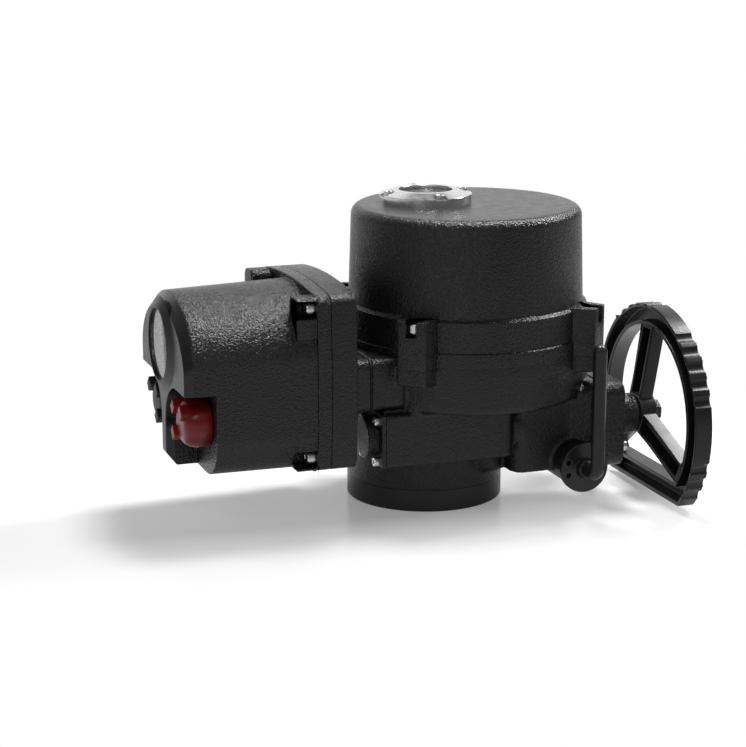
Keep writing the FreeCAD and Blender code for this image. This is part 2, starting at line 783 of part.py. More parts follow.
def worm_thread_solid():
    """Sweep the thread's trapezoid along a helix round the worm axis."""
    pitch = lead.value
    half = pitch / 4 - tooth_backlash.value / 2
    radius = worm_pitch_radius.value
    widening = math.tan(math.radians(20))
    low = worm_root_radius.value - 0.4
    high = worm_tip_radius.value
    turns = math.floor(2 * worm_half_length.value / pitch - 1)
    height = turns * pitch
    helix = Part.makeHelix(pitch, height, radius)
    section = [
        (low, half + (radius - low) * widening),
        (high, half + (radius - high) * widening),
        (high, -half - (radius - high) * widening),
        (low, -half - (radius - low) * widening),
    ]
    corners = [FreeCAD.Vector(x, 0, z) for x, z in section]
    wire = Part.makePolygon(corners + corners[:1])
    thread = Part.Wire(helix).makePipeShell([wire], True, True)
    thread.rotate(FreeCAD.Vector(0, 0, 0), FreeCAD.Vector(0, 1, 0), 90)
    start = -pitch / 4 - math.floor(turns / 2) * pitch
    thread.translate(FreeCAD.Vector(start, worm_axis_y.value, worm_axis_z.value))
    return formed(thread, "Thread")


# Housing

def lug(start, end, turn, reach, spare=0):
    """Make one lug block of the drum, pointing out at an angle and wider by what is spare."""
    points = [
        (lug_foot_radius, -lug_foot_half_width - spare),
        (reach, -lug_half_width - spare),
        (reach, lug_half_width + spare),
        (lug_foot_radius, lug_foot_half_width + spare),
    ]
    return prism("XY_Plane", points, start, end, (turn, drum_x, drum_y, 0))


def lug_angles():
    return [lug_angle + 90 * quarter for quarter in range(4)]


def lug_place(angle, radius):
    return drum_x + radius * cosine(angle), drum_y + radius * sine(angle)


def end_square(left, right, half):
    """Make the rounded square of the end flange."""
    square = block(left, right, worm_axis_y - half, worm_axis_y + half, worm_axis_z - half, worm_axis_z + half)
    return rounded(square, end_plate_corner, lambda edge: runs(edge, "x"))


def flange_transition():
    """Blend the clutch box into the square end flange."""
    front = worm_axis_y.value - end_plate_half.value
    back = worm_axis_y.value + end_plate_half.value
    low = worm_axis_z.value - end_plate_half.value
    high = worm_axis_z.value + end_plate_half.value
    start_x = flange_left_x.value - 16
    sections = [
        (start_x, clutch_front_y.value + 1, clutch_back_y.value - 8, clutch_bottom_z.value + 4, drum_bottom_z.value + 2),
        (flange_left_x.value + 1, front + 3, back - 3, low + 3, high - 3),
    ]
    wires = []
    for x, y0, y1, z0, z1 in sections:
        corners = [FreeCAD.Vector(x, y0, z0), FreeCAD.Vector(x, y1, z0)]
        corners += [FreeCAD.Vector(x, y1, z1), FreeCAD.Vector(x, y0, z1)]
        wires.append(Part.makePolygon(corners + corners[:1]))
    return formed(Part.makeLoft(wires, True, True), "Transition")


def make_housing():
    column = turned("Z", [
        (0, base_height),
        (base_radius, base_height),
        (base_radius, box_bottom_z + 30),
        (base_radius - 4, drum_bottom_z + 1),
        (0, drum_bottom_z + 1),
    ])
    worm_box = rounded(
        block(box_end_x, box_right_x, box_front_y, worm_axis_y + 32, box_bottom_z, box_top_z),
        box_corner,
        lambda edge: runs(edge, "z") and edge.BoundBox.XMax > 0 and edge.BoundBox.YMax < worm_axis_y.value,
    )
    pod = fuse(
        cylinder("Z", pod_radius, pod_bottom_z + 5, drum_bottom_z + 1, pod_x, pod_y),
        cone("Z", pod_radius - 6, pod_radius, pod_bottom_z, pod_bottom_z + 5, pod_x, pod_y),
    )
    clutch_box = rounded(
        block(clutch_left_x, flange_left_x + 1, clutch_front_y, clutch_back_y, clutch_bottom_z, drum_bottom_z + 2),
        clutch_corner,
        lambda edge: runs(edge, "z") and edge.BoundBox.XMax < flange_left_x.value,
    )
    flange = end_square(flange_left_x, flange_right_x, end_plate_half)
    lever_boss = cylinder("Y", lever_boss_radius, lever_boss_front_y, lever_boss_back_y, lever_x, lever_z)
    bearing_boss = cylinder("X", bearing_outer_radius + bearing_boss_wall, tunnel_wall_x - 2,
                            clutch_cavity_left_x, worm_axis_y, worm_axis_z)
    drum = turned("Z", [
        (0, drum_bottom_z),
        (drum_radius - 1.5 - drum_edge, drum_bottom_z),
        (drum_radius - 1.5, drum_bottom_z + drum_edge),
        (drum_radius, parting_z),
        (0, parting_z),
    ], drum_x, drum_y)
    lugs = [lug(lug_bottom_z, parting_z, angle, lug_reach) for angle in lug_angles()]
    stop_bosses = [cylinder("Y", stop_boss_radius, stop_cavity_radius / 2, stop_boss_y,
                            side * stop_screw_offset, stop_level_z) for side in (-1, 1)]
    port = rounded(
        block(neck_seam_x + neck_gasket_thickness, port_inner_x, drum_y - port_half_width,
              drum_y + port_half_width, port_bottom_z, port_top_z),
        port_corner,
        lambda edge: runs(edge, "x"),
    )
    rim_trim = cylinder("Z", drum_radius + port_gap, parting_z, port_top_z + 1, drum_x, drum_y)
    lug_trims = [lug(parting_z, port_top_z + 1, angle, lug_reach + port_gap, port_gap) for angle in lug_angles()]
    outer = fuse(column, worm_box, pod, bearing_boss, clutch_box, flange_transition(), flange, lever_boss, drum,
                 cut(port, rim_trim, *lug_trims), *(lugs + stop_bosses))

    hollows = [
        cylinder("Z", drum_inner_radius, drum_floor_z, parting_z + 1, drum_x, drum_y),
        cylinder("Z", wheel_tip_radius + wheel_side_gap, wheel_cavity_floor, wheel_cavity_top),
        cylinder("Z", stop_cavity_radius, stop_cavity_floor, wheel_cavity_floor + 1),
        cylinder("Z", sleeve_radius + bush_wall, base_height - 1, stop_cavity_floor + 1),
        cylinder("Z", sleeve_top_radius + bush_wall, wheel_cavity_top - 1, drum_floor_z + 1),
        cylinder("X", worm_tunnel_radius, box_end_x - 1, tunnel_wall_x, worm_axis_y, worm_axis_z),
        cylinder("X", worm_shaft_radius + 1.5, tunnel_wall_x - 1, clutch_cavity_left_x + 1, worm_axis_y, worm_axis_z),
        cylinder("X", bearing_outer_radius, right_bearing_x, clutch_cavity_left_x + 1, worm_axis_y, worm_axis_z),
        block(clutch_cavity_left_x, flange_right_x + 1, clutch_front_y + clutch_wall, clutch_back_y - clutch_wall,
              clutch_bottom_z + clutch_floor, drum_bottom_z),
        block(gear_plate_left_x - 1, gear_right_x + 4, gear_opening_front_y, gear_opening_back_y,
              drum_bottom_z - 1, drum_floor_z + 1),
        cylinder("Y", crank_room, clutch_front_y + clutch_wall, crank_pin_end_y + 2, lever_x, lever_z),
        cylinder("Y", lever_shaft_radius + lever_bush_wall, lever_boss_front_y - 1, clutch_front_y + clutch_wall + 1,
                 lever_x, lever_z),
        block(neck_seam_x - 1, drum_x, drum_y - port_half_width + port_wall, drum_y + port_half_width - port_wall,
              drum_floor_z + 2, parting_z - 2),
        cylinder("X", fork_rail_radius, clutch_cavity_left_x - 6, clutch_cavity_left_x + 1, worm_axis_y, fork_rail_z),
    ]
    seal_groove_outer = drum_radius - seal_inset
    hollows.append(tube("Z", seal_groove_outer, seal_groove_outer - seal_width, parting_z - seal_depth,
                        parting_z + 1, drum_x, drum_y))
    for angle in lug_angles():
        x, y = lug_place(angle, lug_screw_radius)
        hollows.append(cylinder("Z", cover_screw_radius + running_clearance, lug_bottom_z + 2, parting_z + 1, x, y))
    for turn in range(4):
        x = flange_pitch_radius * cosine(90 * turn)
        y = flange_pitch_radius * sine(90 * turn)
        hollows.append(cylinder("Z", base_screw_radius + running_clearance, base_height - 1,
                                base_height + base_screw_grip - 8, x, y))
    for side_y in (-1, 1):
        for side_z in (-1, 1):
            hollows.append(cylinder("X", cap_screw_radius + running_clearance, box_end_x - 1,
                                    box_end_x + cap_screw_length - cap_plate + 1,
                                    worm_axis_y + side_y * cap_screw_offset,
                                    worm_axis_z + side_z * cap_screw_offset))
            hollows.append(cylinder("X", end_screw_radius + running_clearance,
                                    end_plate_right_x - end_screw_length - 1, flange_right_x + 1,
                                    worm_axis_y + side_y * end_screw_offset_y,
                                    worm_axis_z + side_z * end_screw_offset_z))
    for side in (-1, 1):
        hollows.append(cylinder("Y", stop_screw_radius + running_clearance, 1, base_radius + 1,
                                side * stop_screw_offset, stop_level_z))
    node("main_housing", cut(outer, *hollows))


def make_base_flange():
    ring = turned("Z", [
        (sleeve_radius + bush_wall, spigot_depth),
        (spigot_radius, spigot_depth),
        (spigot_radius, 0),
        (base_radius - 1, 0),
        (base_radius, 1),
        (base_radius, base_height),
        (sleeve_radius + bush_wall, base_height),
    ])
    tools = []
    for turn in range(4):
        x = flange_pitch_radius * cosine(45 + 90 * turn)
        y = flange_pitch_radius * sine(45 + 90 * turn)
        tools.append(cylinder("Z", flange_thread_radius, -1, flange_thread_depth, x, y))
        x = flange_pitch_radius * cosine(90 * turn)
        y = flange_pitch_radius * sine(90 * turn)
        tools.append(cylinder("Z", base_screw_radius + screw_clearance, -1, base_height + 1, x, y))
        tools.append(cylinder("Z", base_screw_head_radius + screw_clearance, -1, base_screw_head_height + 1, x, y))
    node("base_flange", cut(ring, *tools))
    screws = []
    for turn in range(4):
        x = flange_pitch_radius * cosine(90 * turn)
        y = flange_pitch_radius * sine(90 * turn)
        screws.append(socket_screw("Z", 1, base_screw_head_height + 1, x, y, base_screw_radius,
                                   base_screw_head_radius, base_screw_head_height, base_screw_grip))
    node("base_flange_screws", group(*screws))


def make_cover():
    top_inner = cover_top_radius - cover_wall
    ceiling = cover_top_z - cover_wall
    shell = turned("Z", [
        (drum_inner_radius, parting_z),
        (drum_radius, parting_z),
        (drum_radius, band_bottom_z - 0.8),
        (band_radius, band_bottom_z),
        (band_radius, band_top_z),
        (cover_foot_radius, cover_foot_z),
        (cover_top_radius, cover_top_z - cover_edge),
        (cover_top_radius - cover_edge * 0.293, cover_top_z - cover_edge * 0.293),
        (cover_top_radius - cover_edge, cover_top_z),
        (0, cover_top_z),
        (0, ceiling),
        (top_inner - cover_edge / 2, ceiling),
        (top_inner, ceiling - cover_edge / 2),
        (top_inner, cover_foot_z + cover_wall),
        (drum_inner_radius, cover_foot_z - cover_wall),
    ], drum_x, drum_y)
    inside = cylinder("Z", drum_inner_radius, parting_z - 1, lug_top_z + 1, drum_x, drum_y)
    lugs = cut(fuse(*[lug(parting_z, lug_top_z, angle, lug_reach) for angle in lug_angles()]), inside)
    tools = [cylinder("Z", sight_glass_radius - 2, ceiling - 1, cover_top_z + 1)]
    for angle in lug_angles():
        x, y = lug_place(angle, lug_screw_radius)
        seat = lug_top_z - lug_slot_depth
        tools.append(cylinder("Z", cover_screw_radius + screw_clearance, parting_z - 1, seat + 1, x, y))
        tools.append(cylinder("Z", cover_screw_head_radius + head_bore_clearance, seat, lug_top_z + 1, x, y))
        slot = prism("XY_Plane", [
            (lug_screw_radius, -lug_slot_half_width),
            (lug_reach + 1, -lug_slot_half_width),
            (lug_reach + 1, lug_slot_half_width),
            (lug_screw_radius, lug_slot_half_width),
        ], seat, lug_top_z + 1, (angle, drum_x, drum_y, 0))
        tools.append(slot)
    for turn in range(4):
        x = sight_screw_circle * cosine(90 * turn)
        y = sight_screw_circle * sine(90 * turn)
        tools.append(cylinder("Z", sight_screw_radius + running_clearance, ceiling - 1, cover_top_z + 1, x, y))
    node("top_cover", cut(fuse(shell, lugs), *tools))

    screws = []
    for angle in lug_angles():
        x, y = lug_place(angle, lug_screw_radius)
        screws.append(socket_screw("Z", -1, lug_top_z - lug_slot_depth, x, y, cover_screw_radius,
                                   cover_screw_head_radius, cover_screw_head_height, cover_screw_length))
    node("cover_screws", group(*screws))
    seal_outer = drum_radius - seal_inset
    node("cover_seal", tube("Z", seal_outer, seal_outer - seal_width, parting_z - seal_depth, parting_z,
                            drum_x, drum_y))


def make_sight_ring():
    ring = turned("Z", [
        (sight_glass_radius + running_clearance, cover_top_z),
        (sight_ring_radius, cover_top_z),
        (sight_ring_radius, sight_ring_top_z - sight_chamfer),
        (sight_ring_radius - sight_chamfer, sight_ring_top_z),
        (sight_hole_radius + sight_chamfer, sight_ring_top_z),
        (sight_hole_radius, sight_ring_top_z - sight_chamfer),
        (sight_hole_radius, sight_glass_top_z),
        (sight_glass_radius + running_clearance, sight_glass_top_z),
    ])
    seat = sight_ring_top_z - sight_screw_sink
    tools = []
    screws = []
    for turn in range(4):
        x = sight_screw_circle * cosine(90 * turn)
        y = sight_screw_circle * sine(90 * turn)
        tools.append(cylinder("Z", sight_screw_head_radius + screw_clearance, seat, sight_ring_top_z + 1, x, y))
        tools.append(cylinder("Z", sight_screw_radius + screw_clearance, cover_top_z - 1, seat + 1, x, y))
        screws.append(socket_screw("Z", -1, seat, x, y, sight_screw_radius, sight_screw_head_radius,
                                   sight_screw_head_height, sight_screw_length))
    node("sight_ring", cut(ring, *tools))
    node("sight_ring_screws", group(*screws))
    node("sight_glass", cylinder("Z", sight_glass_radius, sight_glass_bottom_z, sight_glass_top_z))
    node("sight_gasket", tube("Z", sight_glass_radius, sight_hole_radius + 1, cover_top_z, sight_glass_bottom_z))


def make_end_cap():
    half_y = worm_axis_y - box_front_y
    plate = block(box_end_x - cap_plate, box_end_x, box_front_y, worm_axis_y + half_y, box_bottom_z, box_top_z)
    disc = cone("X", cap_disc_radius - 1, cap_disc_radius, box_end_x - cap_plate - cap_disc_height,
                box_end_x - cap_plate - cap_disc_height + 1, worm_axis_y, worm_axis_z)
    drum = cylinder("X", cap_disc_radius, box_end_x - cap_plate - cap_disc_height + 1, box_end_x - cap_plate / 2,
                    worm_axis_y, worm_axis_z)
    spigot = cylinder("X", bearing_outer_radius, box_end_x - 1, box_end_x + cap_spigot, worm_axis_y, worm_axis_z)
    tools = []
    screws = []
    for side_y in (-1, 1):
        for side_z in (-1, 1):
            y = worm_axis_y + side_y * cap_screw_offset
            z = worm_axis_z + side_z * cap_screw_offset
            tools.append(cylinder("X", cap_screw_radius + screw_clearance, box_end_x - cap_plate - 1,
                                  box_end_x + 1, y, z))
            screws.append(socket_screw("X", 1, box_end_x - cap_plate, y, z, cap_screw_radius,
                                       cap_screw_head_radius, cap_screw_head_height, cap_screw_length))
    node("worm_end_cap", cut(fuse(plate, disc, drum, spigot), *tools))
    node("end_cap_screws", group(*screws))


def make_bearings():
    """Worm bearings, each an outer race, an inner race and a closed ball ring between them."""
    places = [box_end_x + cap_spigot, right_bearing_x]
    solids = []
    for start in places:
        end = start + bearing_width
        outer_race = tube("X", bearing_outer_radius, bearing_outer_radius - bearing_race, start, end,
                          worm_axis_y, worm_axis_z)
        inner_race = tube("X", worm_shaft_radius + running_clearance + bearing_race,
                          worm_shaft_radius + running_clearance, start, end, worm_axis_y, worm_axis_z)
        shield = tube("X", bearing_outer_radius - bearing_race, worm_shaft_radius + running_clearance + bearing_race,
                      start + 1, end - 1, worm_axis_y, worm_axis_z)
        solids.append(fuse(outer_race, inner_race, shield))
    carrier = tube("X", worm_tunnel_radius, bearing_outer_radius, places[0], places[0] + bearing_width,
                   worm_axis_y, worm_axis_z)
    node("worm_bearings", group(fuse(solids[0], carrier), solids[1]))


def make_bushes():
    node("lower_bush", tube("Z", sleeve_radius + bush_wall, sleeve_radius + running_clearance, spigot_depth,
                            stop_cavity_floor))
    node("upper_bush", tube("Z", sleeve_top_radius + bush_wall, sleeve_top_radius + running_clearance,
                            wheel_cavity_top, drum_floor_z))


# Output drive

def make_output():
    sector = turned_sector(stop_sector_radius, stop_cavity_floor + stop_gap, stop_cavity_floor + stop_sector_height)
    sleeve = turned("Z", [
        (0, sleeve_bottom_z),
        (sleeve_radius, sleeve_bottom_z),
        (sleeve_radius, wheel_cavity_floor),
        (sleeve_collar_radius, wheel_cavity_floor + 2),
        (sleeve_collar_radius, wheel_bottom_z),
        (sleeve_seat_radius, wheel_bottom_z),
        (sleeve_seat_radius, wheel_top_z),
        (sleeve_top_radius, wheel_top_z),
        (sleeve_top_radius, sleeve_top),
        (0, sleeve_top),
    ])
    bore = cylinder("Z", output_bore_radius, sleeve_bottom_z - 1, sleeve_bottom_z + output_bore_depth)
    keyway = block(0, output_bore_radius + keyway_depth, -(keyway_width / 2), keyway_width / 2,
                   sleeve_bottom_z - 1, sleeve_bottom_z + keyway_length)
    node("drive_sleeve", cut(fuse(sleeve, sector), bore, keyway))

    blank = tube("Z", wheel_tip_radius, sleeve_seat_radius, wheel_bottom_z, wheel_top_z)
    node("worm_wheel", cut(blank, worm_wheel_solid()))

    foot_top = sleeve_top + spindle_foot_height
    dial_bottom = dial_top_z - dial_thickness
    node("indicator_spindle", fuse(
        cylinder("Z", spindle_foot_radius, sleeve_top, foot_top),
        cylinder("Z", spindle_radius, sleeve_top, dial_bottom),
    ))
    dial = cylinder("Z", dial_radius, dial_bottom, dial_top_z)
    pointer = block(-(dial_radius * 0.85), dial_radius * 0.85, -pointer_half_width, pointer_half_width,
                    dial_top_z - 0.5, dial_top_z + pointer_height)
    node("indicator_dial", fuse(dial, pointer))

    cams = []
    for index in range(2):
        low = cam_z + index * cam_pitch
        disc = tube("Z", cam_radius, spindle_radius, low, low + cam_thickness)
        if index == 0:
            flat = block(-cam_radius - 1, cam_radius + 1, cam_radius - cam_flat, cam_radius + 1, low - 1,
                         low + cam_thickness + 1)
        else:
            flat = block(-cam_radius - 1, cam_radius + 1, -cam_radius - 1, cam_flat - cam_radius, low - 1,
                         low + cam_thickness + 1)
        cams.append(cut(disc, flat))
    node("limit_cams", group(*cams))


def turned_sector(radius, start, end):
    """Make the quarter sector that meets the stop screws."""
    item = DOC.addObject("Part::Cylinder", "Sector")
    bind(item, "Radius", radius)
    bind(item, "Height", measure(end) - start)
    bind(item, "Angle", 90)
    item.Placement.Rotation = FreeCAD.Rotation(FreeCAD.Vector(0, 0, 1), 180)
    locate(item, 0, 0, start)
    return item


def make_stops():
    """Make the two end stop screws, each locked by a nut on its boss."""
    screws = []
    nuts = []
    nut_end = stop_boss_y + lock_nut_height
    head = nut_end + stop_screw_adjustment
    for side in (-1, 1):
        x = side * stop_screw_offset
        screws.append(fuse(
            cylinder("Y", stop_screw_radius, stop_gap, head, x, stop_level_z),
            hexagon("Y", stop_screw_head_radius, head, head + stop_screw_head_height, x, stop_level_z),
        ))
        nuts.append(cut(
            hexagon("Y", stop_screw_head_radius, stop_boss_y, nut_end, x, stop_level_z),
            cylinder("Y", stop_screw_radius + running_clearance, stop_boss_y - 1, nut_end + 1, x, stop_level_z),
        ))
    node("stop_screws", group(*screws))
    node("stop_lock_nuts", group(*nuts))


# Worm, gear train and motor

def make_worm():
    shaft = fuse(
        cylinder("X", worm_shaft_radius, box_end_x + cap_spigot + 0.5, worm_shaft_end_x, worm_axis_y, worm_axis_z),
        cylinder("X", worm_root_radius, -worm_half_length, worm_half_length, worm_axis_y, worm_axis_z),
        worm_thread_solid(),
    )
    feather_top = worm_axis_z + worm_shaft_radius + feather_height
    slot = block(shift_left_x, worm_shaft_end_x - 1, worm_axis_y - feather_width / 2,
                 worm_axis_y + feather_width / 2, worm_axis_z + worm_shaft_radius - 3, feather_top)
    node("worm_shaft", cut(shaft, slot))
    node("feather_key", block(shift_left_x, worm_shaft_end_x - 1, worm_axis_y - feather_width / 2,
                              worm_axis_y + feather_width / 2, worm_axis_z + worm_shaft_radius - 3, feather_top))


def dogs(start, end, turn):
    """Make the four dog teeth between two planes across X."""
    teeth = []
    for index in range(int(round(dog_count.value))):
        centre = turn + index * 360 / dog_count.value
        points = []
        for radius in (dog_inner_radius.value, dog_outer_radius.value):
            for side in (-1, 0, 1):
                angle = math.radians(centre + side * dog_half_angle.value)
                points.append((worm_axis_y.value + radius * math.cos(angle),
                               worm_axis_z.value + radius * math.sin(angle)))
        flat = [FreeCAD.Vector(start.value, y, z) for y, z in points]
        edges = [
            Part.Arc(flat[0], flat[1], flat[2]).toShape(),
            Part.LineSegment(flat[2], flat[5]).toShape(),
            Part.Arc(flat[5], flat[4], flat[3]).toShape(),
            Part.LineSegment(flat[3], flat[0]).toShape(),
        ]
        face = Part.Face(Part.Wire(edges))
        teeth.append(formed(face.extrude(FreeCAD.Vector(end.value - start.value, 0, 0)), "Dog"))
    return teeth


def make_gear_train():
    worm_place = (worm_axis_y.value, worm_axis_z.value)
    idler_place = (idler_y.value, idler_z.value)
    motor_place = (motor_y.value, motor_z.value)
    gear_count = int(round(motor_gear_teeth.value))
    idler_count = int(round(idler_teeth.value))
    pinion_count = int(round(pinion_teeth.value))
    first = math.atan2(idler_place[1] - worm_place[1], idler_place[0] - worm_place[0])
    idler_phase = meshing_phase(first, gear_count, idler_count, worm_place, idler_place)
    pinion_phase = meshing_phase(idler_phase, idler_count, pinion_count, idler_place, motor_place)

    gear = spur_gear(motor_gear_teeth, worm_shaft_radius + running_clearance, first, worm_axis_y, worm_axis_z)
    node("motor_gear", fuse(gear, *dogs(gear_right_x, gear_dog_end_x, 0)))
    node("idler_gear", spur_gear(idler_teeth, idler_stud_radius + running_clearance, idler_phase, idler_y, idler_z,
                                 gear_face_gap.value))
    pinion = spur_gear(pinion_teeth, motor_shaft_radius, pinion_phase, motor_y, motor_z)
    node("motor_pinion", pinion)
    node("motor_shaft", cylinder("X", motor_shaft_radius, gear_plate_left_x - 8, gear_right_x + 2, motor_y, motor_z))

    upper = block(gear_plate_left_x, gear_plate_right_x, gear_opening_front_y - 8, gear_opening_back_y + 6,
                  drum_floor_z, motor_z + motor_radius)
    lower = block(gear_plate_left_x, gear_plate_right_x, gear_opening_front_y + 0.5, gear_opening_back_y - 0.5,
                  idler_z - 12, drum_floor_z + 1)
    plate = cut(
        fuse(upper, lower),
        cylinder("X", motor_shaft_radius + 3, gear_plate_left_x - 1, gear_plate_right_x + 1, motor_y, motor_z),
        cylinder("X", idler_stud_radius, gear_plate_left_x - 1, gear_plate_right_x + 1, idler_y, idler_z),
    )
    node("gear_plate", plate)
    node("idler_stud", cylinder("X", idler_stud_radius, gear_plate_left_x, gear_right_x + 2, idler_y, idler_z))

    can = cylinder("X", motor_radius, motor_left_x, gear_plate_left_x, motor_y, motor_z)
    ribs = [tube("X", motor_radius + 1.2, motor_radius - 1, motor_left_x + offset, motor_left_x + offset + 4,
                 motor_y, motor_z) for offset in (12, 74)]
    pocket = cylinder("X", motor_shaft_radius + running_clearance, gear_plate_left_x - 9, gear_plate_left_x + 1,
                      motor_y, motor_z)
    node("motor", cut(fuse(can, *ribs), pocket))


def make_switches():
    top = cam_z + cam_pitch + cam_thickness + 6
    left = cam_radius + switch_gap
    base_left = sleeve_top_radius + bush_wall + 2
    base = block(base_left, base_left + switch_length, -(switch_width / 2), switch_width / 2, drum_floor_z, top)
    rollers = [cylinder("X", switch_roller_radius, left, base_left + 1, 0,
                        cam_z + cam_thickness / 2 + index * cam_pitch) for index in range(2)]
    node("limit_switch_block", fuse(base, *rollers))
    node("power_supply", block(supply_left_x, supply_left_x + supply_length, supply_front_y,
                               supply_front_y + supply_width, drum_floor_z, drum_floor_z + supply_height))


# Clutch

def make_clutch():
    body = tube("X", dog_outer_radius, worm_shaft_radius + running_clearance, shift_left_x, shift_right_x,
                worm_axis_y, worm_axis_z)
    groove = tube("X", dog_outer_radius + 1, sleeve_groove_radius, groove_left_x, groove_right_x,
                  worm_axis_y, worm_axis_z)
    left_dogs = dogs(shift_left_x - dog_height, shift_left_x + 0.5, 45)
    right_dogs = dogs(shift_right_x - 0.5, shift_right_x + dog_height, 45)
    keyway = block(shift_left_x - dog_height - 1, shift_right_x + dog_height + 1,
                   worm_axis_y - feather_width / 2 - running_clearance,
                   worm_axis_y + feather_width / 2 + running_clearance,
                   worm_axis_z, worm_axis_z + worm_shaft_radius + feather_height + running_clearance)
    node("clutch_sleeve", cut(fuse(cut(body, groove), *(left_dogs + right_dogs)), keyway))

    carriage = block(groove_left_x - 4, fork_block_right_x, worm_axis_y - fork_block_half_width,
                     worm_axis_y + fork_block_half_width, fork_bottom_z, fork_block_top_z)
    arm_left = groove_left_x + fork_side_gap
    arm_right = groove_right_x - fork_side_gap
    prongs = cut(
        block(arm_left, arm_right, worm_axis_y - fork_half_width, worm_axis_y + fork_half_width,
              fork_block_top_z - 6, worm_axis_z + 4),
        cylinder("X", sleeve_groove_radius + fork_side_gap, arm_left - 1, arm_right + 1, worm_axis_y, worm_axis_z),
        block(arm_left - 1, arm_right + 1, worm_axis_y - sleeve_groove_radius - fork_side_gap,
              worm_axis_y + sleeve_groove_radius + fork_side_gap, worm_axis_z, worm_axis_z + 5),
    )
    slot = block(lever_x - crank_pin_radius - fork_side_gap, lever_x + crank_pin_radius + fork_side_gap,
                 worm_axis_y - fork_block_half_width - 1, worm_axis_y + fork_block_half_width + 1,
                 fork_bottom_z - 1, lever_z + crank_radius + crank_pin_radius + fork_side_gap)
    rail_hole = cylinder("X", fork_rail_radius + running_clearance, groove_left_x - 5, fork_block_right_x + 1,
                         worm_axis_y, fork_rail_z)
    node("shift_fork", cut(fuse(carriage, prongs), slot, rail_hole))
    node("fork_rail", cylinder("X", fork_rail_radius, clutch_cavity_left_x - 6, flange_right_x + 5,
                               worm_axis_y, fork_rail_z))


def make_lever():
    disc = cut(
        cylinder("Y", lever_disc_radius, lever_disc_front_y, lever_disc_back_y, lever_x, lever_z),
        cylinder("Y", lever_hole_radius, lever_disc_front_y - 1, lever_disc_back_y + 1,
                 lever_x - lever_disc_radius * 0.68, lever_z + 6),
        cylinder("Y", lever_hole_radius, lever_disc_front_y - 1, lever_disc_back_y + 1,
                 lever_x - lever_disc_radius * 0.68, lever_z - 6),
    )
    hub = cone("Y", lever_rod_radius + 1.5, lever_hub_radius, lever_disc_front_y - lever_hub_length,
               lever_disc_front_y + 1, lever_x, lever_z)
    start = FreeCAD.Vector(lever_x.value, lever_disc_front_y.value, lever_z.value)
    bend = lever_bend.value
    foot = FreeCAD.Vector(lever_x.value, lever_rod_y.value, lever_z.value)
    before = foot + FreeCAD.Vector(0, bend, 0)
    after = foot + FreeCAD.Vector(0, 0, bend)
    middle = foot + FreeCAD.Vector(0, bend, bend) * (1 - math.sqrt(0.5))
    top = FreeCAD.Vector(lever_x.value, lever_rod_y.value, lever_top_z.value - lever_rod_radius.value)
    path = Part.Wire([
        Part.LineSegment(start, before).toShape(),
        Part.Arc(before, middle, after).toShape(),
        Part.LineSegment(after, top).toShape(),
    ])
    ring = Part.Wire(Part.makeCircle(lever_rod_radius.value, start, FreeCAD.Vector(0, 1, 0)))
    rod = formed(path.makePipeShell([ring], True, True), "BentRod")
    tip = DOC.addObject("Part::Sphere", "Tip")
    bind(tip, "Radius", lever_rod_radius)
    locate(tip, lever_x, lever_rod_y, lever_top_z - lever_rod_radius)
    shaft = cylinder("Y", lever_shaft_radius, lever_disc_back_y - 1, lever_shaft_end_y, lever_x, lever_z)
    pin = cylinder("Y", crank_pin_radius, lever_shaft_end_y - 1, crank_pin_end_y, lever_x, lever_z + crank_radius)
    crank = cylinder("Y", crank_room - 1, lever_shaft_end_y - 4, lever_shaft_end_y, lever_x, lever_z)
    node("clutch_lever", fuse(disc, hub, rod, tip, shaft, crank, pin))
    node("lever_bush", tube("Y", lever_shaft_radius + lever_bush_wall, lever_shaft_radius + running_clearance,
                            lever_boss_front_y, clutch_front_y + clutch_wall, lever_x, lever_z))


def make_end_plate():
    plate = end_square(flange_right_x, end_plate_right_x, end_plate_half)
    neck = cylinder("X", neck_radius, end_plate_right_x - 1, neck_right_x, worm_axis_y, worm_axis_z)
    collar = cylinder("X", neck_radius + 4, end_plate_right_x - 1, end_plate_right_x + 4, worm_axis_y, worm_axis_z)
    tools = [
        cylinder("X", hand_shaft_radius + hand_bush_wall, flange_right_x - 1, neck_right_x + 1,
                 worm_axis_y, worm_axis_z),
        cylinder("X", fork_rail_radius, flange_right_x - 1, flange_right_x + 5, worm_axis_y, fork_rail_z),
        cylinder("Z", drum_radius + port_gap, drum_bottom_z - 0.5, parting_z, drum_x, drum_y),
    ]
    screws = []
    seat = end_plate_right_x
    for side_y in (-1, 1):
        for side_z in (-1, 1):
            y = worm_axis_y + side_y * end_screw_offset_y
            z = worm_axis_z + side_z * end_screw_offset_z
            tools.append(cylinder("X", end_screw_radius + screw_clearance, flange_right_x - 1, seat + 1, y, z))
            screws.append(socket_screw("X", -1, seat, y, z, end_screw_radius, end_screw_head_radius,
                                       end_screw_head_height, end_screw_length))
    node("end_plate", cut(fuse(plate, neck, collar), *tools))
    node("end_plate_screws", group(*screws))
    node("handwheel_bush", tube("X", hand_shaft_radius + hand_bush_wall, hand_shaft_radius + running_clearance,
                                flange_right_x, neck_right_x, worm_axis_y, worm_axis_z))


# Handwheel

def hand_point(x, radius, angle, side=0):
    """Return a point of the wheel at a radius, an angle from the rear side and an offset across it."""
    turn = math.radians(angle)
    y = worm_axis_y.value + radius * math.cos(turn) - side * math.sin(turn)
    z = worm_axis_z.value + radius * math.sin(turn) + side * math.cos(turn)
    return FreeCAD.Vector(x, y, z)


